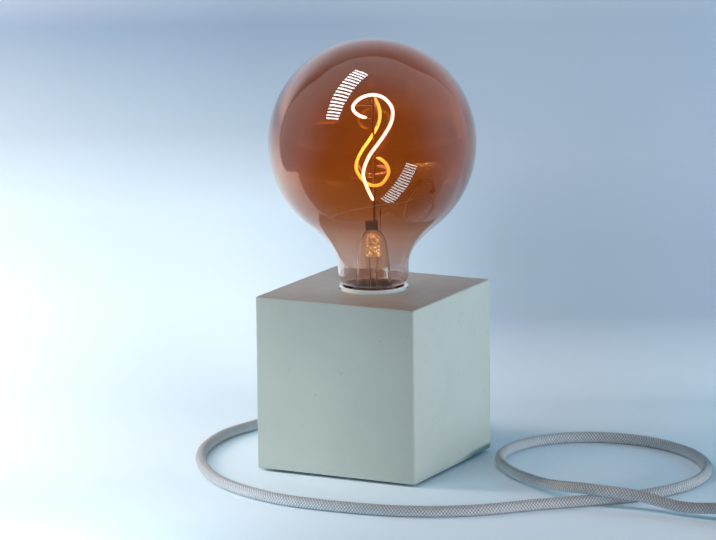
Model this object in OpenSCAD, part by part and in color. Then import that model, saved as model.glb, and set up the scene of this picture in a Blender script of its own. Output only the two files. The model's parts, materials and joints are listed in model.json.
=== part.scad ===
// Concrete cube table lamp with a globe bulb, a textile cord, an in-line rocker switch and a flat plug.
// The origin is on the surface under the middle of the cube, +Z is up and the front face looks along -Y.

/* [Concrete cube] */
// Edge length of the cube
cube_edge = 105; // [100:1:116]
// Rounding of the cube's long edges
arris_r = 1.2; // [0.6:0.1:2.4]
// Diameter of the wiring chamber cast into the underside
chamber_d = 58; // [54:1:62]
// Height of the wiring chamber's ceiling above the cube's underside
chamber_h = 38; // [35:1:41]

/* [Base] */
// Thickness of the soft pad under the cube
pad_t = 1.5; // [1.2:0.1:3]
// How far the pad's edge lies inside the cube's edge
pad_inset = 5; // [3:0.5:6]
// Thickness of the steel base plate
plate_t = 1.5; // [1:0.1:2.5]
// How far the plate lies above the cube's underside
plate_sink = 0.8; // [0.6:0.1:1.5]
// Play around the plate in its recess
plate_gap = 0.3; // [0.2:0.1:0.8]
// Diameter of the screws that hold the plate
base_screw_d = 3; // [2.5:0.1:3.5]
// Length of the threaded inserts in the concrete
insert_h = 8; // [6:0.5:12]

/* [Lampholder] */
// Outer diameter of the lampholder and of its bright rim
holder_d = 41.5; // [40.5:0.5:44]
// Radial gap between the lampholder and the concrete
well_gap = 0.25; // [0.2:0.05:1]
// How far the rim stands above the cube
rim_proud = 2; // [1:0.1:4]
// Width of the rim as seen from above
rim_w = 2.25; // [1.5:0.05:2.6]
// Depth of the bulb's contact below the cube's top face
tip_depth = 27.4; // [26.5:0.1:29]
// Height of the lampholder below the bulb's contact
holder_below = 27; // [26.5:0.1:28]
// Outer diameter of the threaded nipple
nipple_d = 10; // [9.5:0.1:11]
// Bore of the threaded nipple
nipple_bore = 7.6; // [7:0.1:8]

/* [Bulb] */
// Diameter of the glass globe
globe_d = 125; // [118:1:130]
// Height of the globe's middle above the cube's top face
globe_rise = 88.1; // [86:0.1:94]
// Diameter of the straight neck
neck_d = 42.6; // [41:0.1:44]
// Thickness of the glass
glass_t = 1; // [0.7:0.1:1.4]
// Rise of the screw thread in one turn
thread_pitch = 3.62; // [3.4:0.01:3.8]
// Middle radius of the thread on the bulb
thread_r = 12.65; // [12.5:0.05:12.8]
// Height of the thread's wave from its middle radius
thread_wave = 0.55; // [0.45:0.05:0.6]
// Radial clearance between the two threads
thread_gap = 0.35; // [0.3:0.05:0.5]
// Full turns of the thread
thread_turns = 5; // [4:1:5]
// Thickness of the light-emitting strips
strip_d = 1.9; // [1.4:0.1:2.2]
// Thickness of the post that the strips are tied to
post_d = 1.3; // [0.9:0.1:1.6]

/* [Cord] */
// Diameter of the textile cord
cord_d = 6.5; // [6:0.1:6.8]
// Diameter of one insulated core in the cord
core_d = 2.2; // [1.8:0.1:2.4]
// Height of the cord's exit above the surface
exit_z = 13; // [12:0.5:15]
// Length of the tapered strain relief outside the cube
relief_l = 24; // [20:1:30]
// Distance between the coil's turns from middle to middle
coil_step = 7.1; // [7:0.1:7.6]
// Height between the coil's layers
coil_layer = 7; // [7:0.1:7.6]
// Radius of the coil's innermost turn
coil_in_r = 29.5; // [28:0.5:32]

/* [Switch] */
// Length of the in-line switch
switch_l = 68; // [66:1:74]
// Width of the in-line switch
switch_w = 28; // [27:0.5:31]
// Height of the in-line switch
switch_h = 18; // [17:0.5:20]
// Wall of the switch's two shells
switch_wall = 1.8; // [1.4:0.1:2.2]
// Length of the rocker
rocker_l = 26; // [23:0.5:27]
// Width of the rocker
rocker_w = 14.6; // [12:0.1:15]
// Tilt of the rocker to each side
rocker_tilt = 7; // [4:0.5:8]

/* [Plug] */
// Width of the flat plug
plug_w = 35.3; // [33:0.1:37]
// Thickness of the flat plug
plug_t = 13.7; // [12.5:0.1:15]
// Length of the plug's body
plug_l = 36; // [33:0.5:40]
// Diameter of the plug's pins
pin_d = 4; // [3.8:0.1:4.8]
// Length of the plug's pins outside the body
pin_l = 19; // [18:0.5:19.5]
// Distance between the pins
pin_step = 18.6; // [17.5:0.1:19.5]

/* [Hidden] */
$fn = 96;
eps = 0.01;

// Heights of the main faces above the surface
cube_z = pad_t;
top_z = cube_z + cube_edge;
plate_z = cube_z + plate_sink;
ceiling_z = cube_z + chamber_h;
tip_z = top_z - tip_depth;
holder_z = tip_z - holder_below;
globe_z = top_z + globe_rise;

// Base: the screws stand outside the chamber and the plate reaches past them
insert_r = base_screw_d / 2 + 1;
land_w = 3;
screw_circle_r = chamber_d / 2 + land_w + insert_r;
plate_r = screw_circle_r + 4.5;
window_r = plate_r + 2;
pad_corner_r = 6;
screw_head_r = base_screw_d;
screw_head_h = 1.5;
slot_w = 0.8;
slot_share = 0.55;

// Cord outlet and its clamp
cord_r = cord_d / 2;
relief_body_r = cord_r + 1.6;
relief_flange_r = relief_body_r + 2.2;
relief_flange_t = 2;
relief_foot_r = cord_r + 2.6;
relief_tip_r = cord_r + 1.1;
relief_ribs = 5;
rib_depth = 0.7;
outlet_r = relief_body_r + 0.1;
relief_bore_r = cord_r + 0.1;
relief_tip_y = cube_edge / 2 + relief_l;
strip_y = 11;
clamp_y = 21;
clamp_l = 10;
clamp_w = 22;
clamp_bar_h = 5.5;
clamp_split = 0.4;
clamp_screw_x = 7.5;
clamp_screw_d = 3;

// Nipple and nut
nut_flats = nipple_d + 4;
nut_h = 5;
washer_t = 1.2;
thread_fit = 0.05;
nipple_tail = 8.5;
nipple_hole_d = nipple_d + 0.8;

// Lampholder, from the bottom up
dome_r = holder_d / 2 - 1.5;
dome_wall = 2;
neck_h = 4;
cone_h = 4;
dome_floor_z = holder_z + neck_h + cone_h + 0.5;
contact_h = 3.1;
core_h = 9.5;
core_top_z = tip_z - contact_h;
core_z = core_top_z - core_h;
core_fit = 0.2;
spigot_r = dome_r - 1.1;
spigot_h = 5;
shoulder_z = core_top_z - 2;
core_r = spigot_r - 1 - core_fit;
terminal_y = 10;
terminal_d = 3;
terminal_head_r = 2.8;
terminal_head_h = 2;
// The leaf spring under the bulb's contact: foot, bend and flat top
spring_t = 0.45;
spring_w = 6;
spring_top = contact_h - spring_t;
spring_line = [[-9, 0], [-5.5, 0], [-3, spring_top - 0.2], [-2, spring_top], [2, spring_top],
  [3, spring_top - 0.2], [6.5, 0.6]];
shell_mid_r = thread_r + thread_gap;
shell_out_r = shell_mid_r + thread_wave + 0.95;
shell_lip = 0.7;
shell_h = thread_pitch * thread_turns;
shell_z = tip_z + 1.9;
rim_z = top_z + rim_proud;
mouth_r = holder_d / 2 - rim_w;

// Bulb
cap_thread_z = tip_z + 3.3;
cap_thread_top = cap_thread_z + shell_h;
cap_top_z = tip_z + 26.5;
cap_rim_r = thread_r + 0.65;
cap_in_r = thread_r - 1.25;
cap_socket_r = cap_rim_r - 0.5;
glass_foot_r = cap_socket_r - 0.1;
contact_t = 1;
contact_r = 4.8;
rivet_r = 1.5;
rivet_gap = 0.08;
insulator_top = cap_thread_z + 2.6;
board_h = 14;
board_t = 1.2;
neck_r = neck_d / 2;
neck_foot_h = 9;
neck_foot_r = 8;
neck_foot_turn = 78;
neck_straight_h = 14;
neck_flare = 10;
neck_blend = 14;
globe_r = globe_d / 2;
// Where the neck runs into the globe: the angle from the globe's lowest point, and the place
joint_turn = 39.7;
joint_x = globe_r * sin(joint_turn);
joint_h = globe_rise - globe_r * cos(joint_turn);
// Glass stem, in heights above the cube's top: a bell, a tube inside it and a flat pinch
bell_top = 35;
bell_t = 0.9;
bell_line = [[glass_foot_r - glass_t - 0.05, -4.5], [10.9, 3], [9.9, 12], [9.2, 20], [8.6, 26],
  [7.2, 31], [5, 34], [3.2, bell_top]];
pinch_z = 21.9;
pinch_h = 11;
pinch_w = 8.4;
pinch_t = 3.6;
sleeve_z = bell_top + 0.1;
sleeve_h = 5.6;
sleeve_top_z = top_z + sleeve_z + sleeve_h;
post_x = 0.9;
post_top = 30.9;
wire_r = 0.3;
// The strips face the same way as the lamp is seen from
strip_turn = 27;

// Switch on the cord, with its length along X
switch_x = 299;
switch_y = -50;
switch_corner_r = 9;
entry_z = 9;
pivot_z = switch_h - 3.5;
pivot_r = 1.5;
pivot_gap = 0.05;
lug_t = 2;
lug_l = 7;
lug_h = 3.5;
rocker_gap = 0.3;
window_end_gap = 0.9;
boss_r = 3.6;
boss_x = 21.5;
boss_y = 8.4;
switch_screw_d = 2.8;
sink_depth = 2.2;
bar_l = 12;
bar_drop = 3.5;
terminal_x = 8;
terminal_w = 5;
terminal_top = pivot_z - bar_drop * cos(rocker_tilt) - bar_l / 2 * sin(rocker_tilt) - 0.1;
switch_start_x = switch_x - switch_l / 2;
switch_end_x = switch_x + switch_l / 2;
tail_stub = 9;

// Coil beside the switch, wound from its outer turn in and out again
coil_x = 332;
coil_y = 20;
coil_turns = 2.25;
rings_per_turn = 24;
coil_out_r = coil_in_r + coil_step * coil_turns / 2;
coil_entry_x = coil_x + coil_out_r;
coil_exit_y = coil_y + coil_out_r;
// The tie goes round the two strands that lie one above the other on this side
tie_turn = 215;
tie_t = 0.8;
tie_w = 10;
tie_play = 1;
tie_slack = 0.15;
tie_r = coil_in_r + coil_step / 2;
tie_corner_r = 2.6;

// Plug beside the coil, with its pins along -X
plug_tail_x = coil_x - 46;
plug_relief_l = 24;
plug_front_x = plug_tail_x - plug_relief_l - plug_l;
plug_z = plug_t / 2;
plug_tail_r = 7.2;
plug_waist_r = 9;
plug_chamfer = 1.5;
sleeve_l = 10;
sleeve_t = 0.4;
sleeve_sink = 0.17;
pin_inset = 11;

// The cord's route on the surface, chosen by hand: x, y and the height of its underside
run_route = [
  [0, relief_tip_y + cord_d, exit_z - cord_r], [-2, 104, 5.4], [-18, 126, 0.6], [-47, 131, 0],
  [-76, 111, 0], [-95, 77, 0], [-105, 38, 0], [-109, 8, 0], [-102, -29, 0], [-84, -64, 0],
  [-52, -98, 0], [-8, -119, 0], [36, -122, 0], [78, -115.5, 0], [112, -98, 0], [140, -70, 0],
  [165, -47, 0], [187, -23, 0], [201, 12, 0], [196, 50, 0], [170, 84, 0], [131, 101, 0],
  [93, 94, 0], [70, 66, 0], [70, 29, 0], [92, -3, 0], [128, -31, 2.2], [162, -49, 6.9],
  [193, -46.5, 5.4], [224, -49, 2.2], [switch_start_x - cord_d, switch_y, entry_z - cord_r]
];
link_route = [
  [switch_end_x + cord_d, switch_y, entry_z - cord_r], [switch_end_x + 29, -39, 0.8],
  [coil_entry_x, -15, 0], [coil_entry_x, coil_y - 2 * cord_d, 0]
];
tail_route = [[coil_x - 2 * cord_d, coil_exit_y, coil_layer],
  [plug_tail_x + cord_d, coil_exit_y, plug_z - cord_r]];
// The cores' way from the clamp through the nipple to the terminals, as side, y and z
core_route = [
  [1.2, strip_y, exit_z], [1.3, strip_y - 4, exit_z + 0.4], [1.5, 3, exit_z + 4],
  [1.6, 0.4, exit_z + 11], [1.6, 0, exit_z + 20], [1.6, 0, dome_floor_z - 2],
  [2.2, 1.2, dome_floor_z + 1.4], [3.4, 4, dome_floor_z + 3.2], [4, 7.5, core_z - 1.6],
  [4, 10.5, core_z - 1.2]
];
// The strips' shapes: across, towards the viewer, and height from the globe's middle
front_route = [
  [0.3, 1.9, -34.8], [-3.6, 3.2, -25.8], [-5.5, 4.5, -18.7], [-4.2, 6, -12.2], [-1.2, 7.5, -5.8],
  [2.9, 8, -0.2], [7.9, 7.4, 6.7], [11.5, 6, 13.2], [12.4, 5, 19.8], [10.3, 4, 24.5], [6.1, 3.2, 28],
  [0.5, 2.4, 29.2], [-5.5, 0.8, 27.6], [-9.8, -1.5, 24], [-11.3, -3, 20.3], [-9.1, -3.8, 16.9],
  [-5.5, -3.6, 15], [-3, -3, 14.8]
];
rear_route = [
  [1.7, -2.6, 26.9], [4.5, -4.4, 20.4], [4.8, -6, 13.9], [3, -7.2, 8.1], [-0.7, -8, 1.7],
  [-5.5, -7.4, -5], [-8.8, -5.8, -10.9], [-9.8, -4, -16.1], [-7.3, -1.6, -21.1], [-3.6, 1.4, -24.3],
  [1.1, 4.2, -25.3], [6.1, 5.4, -23.5], [9.7, 5.4, -17.3], [8.5, 4.2, -12.6], [4.8, 2.8, -9.4],
  [2.6, 2, -9]
];
// Wire supports from the post to the strips, and the hook that stands past them
post_side = post_d / 2 + 0.04;
stub_end = post_side + 0.5;
support_wires = [
  [[post_x, post_side, 29.2], [post_x, 1.2, 29.2], [post_x, 1.4, 29.2]],
  [[post_x, -post_side, 27], [post_x, -1.3, 27], [post_x, -1.6, 27]],
  [[post_x - post_side, 0, 22.2], [post_x - stub_end, 0, 22.2], [-4, -1.2, 22.2], [-9.6, -2.1, 22.2]],
  [[post_x - post_side, 0, 14.6], [post_x - stub_end, 0, 14.6], [-1, -1.8, 14.2], [-2.2, -3, 13.7]],
  [[post_x + post_side, 0, 10.3], [post_x + stub_end, 0, 10.3], [3.4, -3.4, 10.3], [3.4, -5.4, 10.6]],
  [[post_x + post_side, 0, -9], [post_x + stub_end, 0, -9], [2.4, 0.55, -9.5], [2.8, 1, -9.9]],
  [[post_x - post_side, 0, -21], [post_x - stub_end, 0, -21], [-4.5, -1.6, -21], [-8.5, -3.6, -22.4],
    [-13.4, -3.2, -20.9]]
];
// Lead-in wires: out of the driver, up through the stem and on to the front strip
board_top_z = insulator_top + board_h;
lead_line = [[1.5, 0, board_top_z], [2, 0, board_top_z + 5], [2.6, 0, top_z + pinch_z]];
lead_rise = [
  [4.4, -0.6, bell_top + 0.1 - globe_rise], [4.6, -0.4, -45], [4.4, 0, -38], [3, 1, -36],
  [0.6, 1.9, -35.3]
];

function unit(v) = v / norm(v);
function at_height(route, r) = [for (p = route) [p[0], p[1], p[2] + r]];
function spline(a, b, c, d, t) =
  0.5 * (2 * b + (c - a) * t + (2 * a - 5 * b + 4 * c - d) * t * t
    + (3 * b - a - 3 * c + d) * t * t * t);
function smooth(p, n) = concat(
  [for (i = [0:len(p) - 2]) for (s = [0:n - 1])
    spline(p[max(i - 1, 0)], p[i], p[i + 1], p[min(i + 2, len(p) - 1)], s / n)],
  [p[len(p) - 1]]);
function along(p) = [for (i = [0:len(p) - 1])
  unit(p[min(i + 1, len(p) - 1)] - p[max(i - 1, 0)])];
function length_of(p, i = 0) = i >= len(p) - 1 ? 0 : norm(p[i + 1] - p[i]) + length_of(p, i + 1);
function bezier(a, b, c, d, n) = [for (i = [0:n]) let (t = i / n, s = 1 - t)
  s * s * s * a + 3 * s * s * t * b + 3 * s * t * t * c + t * t * t * d];
function arc(cx, cy, r, a0, a1, n) = [for (i = [0:n]) let (a = a0 + (a1 - a0) * i / n)
  [cx + r * cos(a), cy + r * sin(a)]];

// Ribbed taper of a strain relief, from z0 up, as points of radius and height
function ribbed(z0, l) = let (rib_l = (l - 1) / relief_ribs) concat(
  [for (i = [0:relief_ribs - 1]) for (q = [[0, 0], [0.5, 0], [0.55, rib_depth], [0.9, rib_depth]])
    [relief_foot_r + (relief_tip_r - relief_foot_r) * (i + q[0]) / relief_ribs - q[1],
      z0 + rib_l * (i + q[0])]],
  [[relief_tip_r, z0 + l - 1], [relief_tip_r - 0.4, z0 + l]]);

// A closed skin over rings of equal count; a looped one joins its last ring to its first
module skin(rings, looped = false) {
  n = len(rings[0]);
  m = len(rings);
  points = [for (ring = rings) for (p = ring) p];
  sides = [for (i = [0:m - (looped ? 1 : 2)]) for (k = [0:n - 1])
    let (j = (i + 1) % m, l = (k + 1) % n)
    each [[i * n + k, i * n + l, j * n + l], [i * n + k, j * n + l, j * n + k]]];
  caps = looped ? [] : concat(
    [for (k = [1:n - 2]) [0, k + 1, k]],
    [for (k = [1:n - 2]) [(m - 1) * n, (m - 1) * n + k, (m - 1) * n + k + 1]]);
  polyhedron(points = points, faces = concat(sides, caps));
}

// A round tube of some sides along a line of points; up is a direction that the line never takes
module tube(line, r, count, up = [0, 0, 1]) {
  t = along(line);
  skin([for (i = [0:len(line) - 1])
    let (s = unit(cross(up, t[i])), u = cross(s, t[i]))
    [for (k = [0:count - 1]) let (a = 360 * (k + 0.5) / count)
      line[i] + r * (cos(a) * s + sin(a) * u)]]);
}

// A ring of the screw thread: each height has its middle radius and wave
module threaded(rows, columns = 24) {
  skin([for (row = rows) [for (k = [0:columns - 1])
    let (a = 360 * k / columns, r = row[1] + row[2] * cos(360 * row[0] / thread_pitch - a))
    [r * cos(a), r * sin(a), row[0]]]], looped = true);
}

module rounded_square(w, d, r) {
  square([w - 2 * r, d], center = true);
  square([w, d - 2 * r], center = true);
  for (x = [-1, 1], y = [-1, 1]) translate([x * (w / 2 - r), y * (d / 2 - r)]) circle(r);
}

module ring(r_out, r_in, z0, z1) {
  translate([0, 0, z0]) difference() {
    cylinder(r = r_out, h = z1 - z0);
    translate([0, 0, -eps]) cylinder(r = r_in, h = z1 - z0 + 2 * eps);
  }
}

module pan_screw(d, l, head_r, head_h) {
  translate([0, 0, -head_h / 4]) cylinder(d = d, h = l + head_h / 4);
  translate([0, 0, -head_h]) difference() {
    cylinder(r = head_r, h = head_h);
    for (a = [0, 90]) rotate([0, 0, a]) translate([-head_r * slot_share, -slot_w / 2, -eps])
      cube([2 * head_r * slot_share, slot_w, head_h / 2]);
  }
}

module at_base_screws() {
  for (a = [45:90:315]) rotate([0, 0, a]) translate([screw_circle_r, 0, 0]) children();
}

module edge_bar() translate([0, 0, -cube_edge / 2]) linear_extrude(cube_edge)
  rounded_square(cube_edge, cube_edge, arris_r);

module concrete_body() color([0.62, 0.66, 0.62]) difference() {
  translate([0, 0, cube_z + cube_edge / 2]) intersection() {
    edge_bar();
    rotate([90, 0, 0]) edge_bar();
    rotate([0, 90, 0]) edge_bar();
  }
  translate([0, 0, holder_z]) cylinder(d = holder_d + 2 * well_gap, h = cube_edge);
  translate([0, 0, ceiling_z - 1]) cylinder(d = nipple_hole_d, h = cube_edge);
  translate([0, 0, cube_z - 1]) cylinder(d = chamber_d, h = chamber_h + 1);
  translate([0, 0, cube_z - 1]) cylinder(r = plate_r + plate_gap, h = plate_sink + plate_t + 1);
  translate([0, 0, exit_z]) rotate([-90, 0, 0]) cylinder(r = outlet_r, h = cube_edge);
  at_base_screws() translate([0, 0, plate_z]) cylinder(r = insert_r, h = plate_t + insert_h + 1);
}

module base_pad() color([0.08, 0.08, 0.085]) linear_extrude(pad_t) difference() {
  rounded_square(cube_edge - 2 * pad_inset, cube_edge - 2 * pad_inset, pad_corner_r);
  circle(window_r);
}

module base_plate() color([0.72, 0.73, 0.74]) translate([0, 0, plate_z]) difference() {
  cylinder(r = plate_r, h = plate_t);
  at_base_screws() translate([0, 0, -eps]) cylinder(d = base_screw_d + 0.5, h = plate_t + 2 * eps);
  at_clamp_screws() translate([0, 0, -eps]) cylinder(d = clamp_screw_d, h = plate_t + 2 * eps);
}

module base_screws() color([0.75, 0.75, 0.77])
  at_base_screws() translate([0, 0, plate_z])
    pan_screw(base_screw_d, plate_t + insert_h - 1, screw_head_r, screw_head_h);

module thread_inserts() color([0.78, 0.6, 0.3])
  at_base_screws() ring(insert_r, base_screw_d / 2, plate_z + plate_t, plate_z + plate_t + insert_h);

module at_clamp_screws() for (x = [-1, 1]) translate([x * clamp_screw_x, clamp_y, 0]) children();

module clamp_block(z0, z1) difference() {
  translate([-clamp_w / 2, clamp_y - clamp_l / 2, z0]) cube([clamp_w, clamp_l, z1 - z0]);
  translate([0, 0, exit_z]) rotate([-90, 0, 0]) cylinder(r = cord_r + 0.05, h = cube_edge);
  at_clamp_screws() translate([0, 0, z0 - eps]) cylinder(d = clamp_screw_d + 0.2, h = z1 - z0 + 2 * eps);
}

module cord_clamp() color([0.12, 0.12, 0.13]) clamp_block(plate_z + plate_t, exit_z - clamp_split);

module clamp_bar() color([0.12, 0.12, 0.13]) clamp_block(exit_z + clamp_split, exit_z + clamp_bar_h);

module clamp_screws() color([0.75, 0.75, 0.77])
  at_clamp_screws() translate([0, 0, exit_z + clamp_bar_h]) mirror([0, 0, 1])
    pan_screw(clamp_screw_d, exit_z + clamp_bar_h - plate_z, 2.8, 2);

module strain_relief() color([0.1, 0.1, 0.11]) translate([0, 0, exit_z]) rotate([-90, 0, 0])
  rotate_extrude() polygon(concat(
    [[relief_bore_r, chamber_d / 2 + 1], [relief_body_r, chamber_d / 2 + 1],
      [relief_body_r, cube_edge / 2], [relief_flange_r, cube_edge / 2],
      [relief_flange_r, cube_edge / 2 + relief_flange_t]],
    ribbed(cube_edge / 2 + relief_flange_t, relief_l - relief_flange_t),
    [[relief_bore_r, relief_tip_y]]));

module inner_cord() color([0.68, 0.69, 0.7]) translate([0, strip_y, exit_z]) rotate([-90, 0, 0])
  cylinder(d = cord_d, h = relief_tip_y - strip_y);

// One core: below the chamber's ceiling both take the same way in y, above it opposite ways
module core_wire(side) tube(
  smooth([for (p = core_route) [side * p[0], (p[2] > ceiling_z ? side : 1) * p[1], p[2]]], 3),
  core_d / 2, 8, up = [1, 0, 0]);

module live_core() color([0.35, 0.2, 0.12]) core_wire(1);

module neutral_core() color([0.15, 0.3, 0.65]) core_wire(-1);

module nipple() color([0.76, 0.74, 0.7])
  ring(nipple_d / 2, nipple_bore / 2, ceiling_z - nipple_tail, dome_floor_z);

module nipple_nut() color([0.8, 0.66, 0.35])
  translate([0, 0, ceiling_z - washer_t - nut_h]) difference() {
    cylinder(r = nut_flats / 2 / cos(30), h = nut_h, $fn = 6);
    translate([0, 0, -eps]) cylinder(d = nipple_d + 2 * thread_fit, h = nut_h + 2 * eps);
  }

module nipple_washer() color([0.75, 0.75, 0.77])
  ring(nipple_d, nipple_d / 2 + 0.2, ceiling_z - washer_t, ceiling_z);

module holder_dome() color([0.93, 0.92, 0.9]) rotate_extrude() polygon([
  [nipple_d / 2 + thread_fit, holder_z], [nipple_d, holder_z], [nipple_d, holder_z + neck_h],
  [dome_r, holder_z + neck_h + cone_h], [dome_r, shoulder_z], [spigot_r, shoulder_z],
  [spigot_r, shoulder_z + spigot_h], [core_r + core_fit, shoulder_z + spigot_h],
  [core_r + core_fit, core_z], [core_r - dome_wall, core_z], [core_r - dome_wall, dome_floor_z],
  [nipple_d / 2 + thread_fit, dome_floor_z]
]);

module at_terminals() for (s = [-1, 1]) translate([0, s * terminal_y, core_z]) children();

module holder_core() color([0.9, 0.88, 0.84]) difference() {
  translate([0, 0, core_z]) cylinder(r = core_r, h = core_h);
  at_terminals() translate([0, 0, -eps]) cylinder(d = terminal_d, h = 6);
}

module terminal_screws() color([0.8, 0.66, 0.35])
  at_terminals() pan_screw(terminal_d, 5.5, terminal_head_r, terminal_head_h);

module holder_skirt() color([0.95, 0.93, 0.91]) rotate_extrude() polygon(concat(
  [[spigot_r + 0.15, shoulder_z], [holder_d / 2, shoulder_z]],
  arc(holder_d / 2 - 0.8, rim_z - 0.8, 0.8, 0, 90, 4),
  arc(mouth_r + 0.8, rim_z - 0.8, 0.8, 90, 180, 4),
  [[mouth_r, shell_z + shell_h + 2.4], [shell_out_r + 0.1, shell_z + shell_h + 0.2],
    [shell_out_r + 0.1, shell_z], [shell_out_r - shell_lip, shell_z],
    [shell_out_r - shell_lip, shoulder_z + spigot_h + 0.2], [spigot_r + 0.15, shoulder_z + spigot_h + 0.2]]));

module thread_shell() color([0.82, 0.7, 0.42]) {
  rows = 6 * thread_turns;
  threaded(concat(
    [for (i = [rows:-1:0]) [shell_z + shell_h * i / rows, shell_mid_r, thread_wave]],
    [[shell_z, shell_out_r, 0], [shell_z + shell_h, shell_out_r, 0]]));
}

module centre_contact() color([0.85, 0.7, 0.4])
  translate([0, spring_w / 2, core_top_z]) rotate([90, 0, 0]) linear_extrude(spring_w) polygon(concat(
    spring_line,
    [for (i = [len(spring_line) - 1:-1:0]) spring_line[i] + [0, spring_t]]));

module side_contact() color([0.85, 0.7, 0.4]) {
  translate([shell_mid_r - 0.4, -2, core_top_z]) cube([0.5, 4, shell_z - core_top_z]);
  translate([shell_mid_r - 3.4, -2, core_top_z]) cube([3.2, 4, 0.5]);
}

// The neck's half outline, drawn in by the thickness of the glass for its inner side
module neck_outline(inward) let (foot_z = top_z - 5.5 - (inward > 0 ? eps : 0), r = glass_foot_r - inward)
  polygon(concat(
    [[0, foot_z], [r, foot_z], [r, top_z + 0.4]],
    arc(neck_r - neck_foot_r, top_z + neck_foot_h, neck_foot_r - inward, -neck_foot_turn, 0, 7),
    [for (p = bezier([neck_r, neck_straight_h], [neck_r, neck_straight_h + neck_flare],
      [joint_x - neck_blend * cos(joint_turn), joint_h - neck_blend * sin(joint_turn)],
      [joint_x, joint_h], 9)) [p[0] - inward, top_z + p[1]]],
    [[0, top_z + joint_h]]));

module bulb_glass() color([0.45, 0.3, 0.25, 0.5]) difference() {
  union() {
    translate([0, 0, globe_z]) sphere(globe_r);
    rotate_extrude() neck_outline(0);
  }
  translate([0, 0, globe_z]) sphere(globe_r - glass_t);
  rotate_extrude() neck_outline(glass_t);
}

module bulb_cap() color([0.83, 0.81, 0.77]) {
  rows = 6 * thread_turns;
  threaded(concat(
    [for (i = [0:rows]) [cap_thread_z + shell_h * i / rows, thread_r, thread_wave]],
    [[cap_thread_top + 0.6, cap_rim_r, 0], [cap_top_z, cap_rim_r, 0],
      [cap_top_z, cap_socket_r, 0], [top_z - 5.7, cap_socket_r, 0],
      [top_z - 6.3, cap_in_r, 0], [cap_thread_z, cap_in_r, 0]]));
}

module cap_insulator() color([0.05, 0.05, 0.06]) rotate_extrude() polygon([
  [rivet_r + rivet_gap, tip_z + contact_t], [contact_r + 0.8, tip_z + contact_t],
  [cap_in_r - 0.1, cap_thread_z - 0.2], [cap_in_r - 0.1, insulator_top],
  [rivet_r + rivet_gap, insulator_top]
]);

module cap_contact() color([0.85, 0.7, 0.4]) {
  translate([0, 0, tip_z]) cylinder(r = contact_r, h = contact_t);
  translate([0, 0, tip_z]) cylinder(r = rivet_r, h = insulator_top - tip_z - 0.3);
}

module driver_board() color([0.1, 0.35, 0.2])
  translate([-8.5, -board_t / 2, insulator_top]) cube([17, board_t, board_h]);

// A capacitor, a rectifier, a coil and a fuse on the two sides of the board
module driver_parts() translate([0, 0, insulator_top]) {
  color([0.12, 0.12, 0.14]) translate([-2.5, 2.5 + board_t / 2, 1]) cylinder(d = 5, h = 9);
  color([0.1, 0.1, 0.1]) translate([2.2, board_t / 2, 2]) cube([4.5, 1.6, 5]);
  color([0.55, 0.3, 0.15]) translate([3, -2.5 - board_t / 2, 5]) cylinder(d = 5, h = 6);
  color([0.2, 0.2, 0.22]) translate([-6.5, -2.8 - board_t / 2, 2]) cube([5, 2.8, 5]);
}

module glass_stem() color([0.75, 0.6, 0.45, 0.6]) {
  rotate_extrude() polygon(concat(
    [for (p = bell_line) [p[0], top_z + p[1]]],
    [for (i = [len(bell_line) - 1:-1:0])
      [bell_line[i][0] - bell_t, top_z + bell_line[i][1] - (bell_line[i][0] < 5.5 ? bell_t : 0)]]));
  ring(4.9, 3.9, top_z - 3, top_z + pinch_z + 0.1);
  translate([-pinch_w / 2, -pinch_t / 2, top_z + pinch_z]) cube([pinch_w, pinch_t, pinch_h]);
}

module stem_sleeve() color([0.35, 0.27, 0.24]) rotate([0, 0, strip_turn])
  translate([-4.6, -2.2, top_z + sleeve_z]) cube([7.6, 4.4, sleeve_h]);

module in_globe() translate([0, 0, globe_z]) rotate([0, 0, strip_turn]) children();

function facing(route) = [for (p = route) [p[0], -p[1], p[2]]];

module centre_post() color([0.3, 0.17, 0.1]) in_globe()
  translate([post_x, 0, sleeve_top_z - globe_z]) cylinder(d = post_d, h = globe_z + post_top - sleeve_top_z);

module filament_front() color([1, 0.82, 0.5]) in_globe()
  tube(smooth(facing(front_route), 2), strip_d / 2, 8, up = [0.1, 1, 0]);

module filament_rear() color([1, 0.66, 0.2]) in_globe()
  tube(smooth(facing(rear_route), 2), strip_d / 2, 8, up = [0.1, 1, 0]);

module filament_supports() color([0.5, 0.36, 0.2]) in_globe()
  for (wire = support_wires) tube(concat(facing([wire[0]]),
    smooth(facing([for (i = [1:len(wire) - 1]) wire[i]]), 3)), wire_r, 6, up = [0, 0.2, 1]);

module lead_wires() color([0.6, 0.45, 0.3]) {
  for (s = [-1, 1]) tube([for (p = lead_line) [s * p[0], p[1], p[2]]], wire_r, 6, up = [0, 1, 0]);
  in_globe() tube(smooth(facing(lead_rise), 2), wire_r, 6, up = [0, 1, 0]);
}

cord_color = [0.66, 0.68, 0.7];
run_line = concat([[0, relief_tip_y, exit_z]], smooth(at_height(run_route, cord_r), 2),
  [[switch_start_x, switch_y, entry_z]]);
link_line = concat([[switch_end_x, switch_y, entry_z]], smooth(at_height(link_route, cord_r), 2),
  [[coil_entry_x, coil_y - cord_d, cord_r]]);
tail_line = concat([[coil_x - cord_d, coil_exit_y, coil_layer + cord_r]],
  smooth(at_height(tail_route, cord_r), 2), [[plug_tail_x, coil_exit_y, plug_z]]);

module cord_run() color(cord_color) tube(run_line, cord_r, 8);

module cord_link() color(cord_color) tube(link_line, cord_r, 8);

module cord_tail() color(cord_color) tube(tail_line, cord_r, 8);

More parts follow.
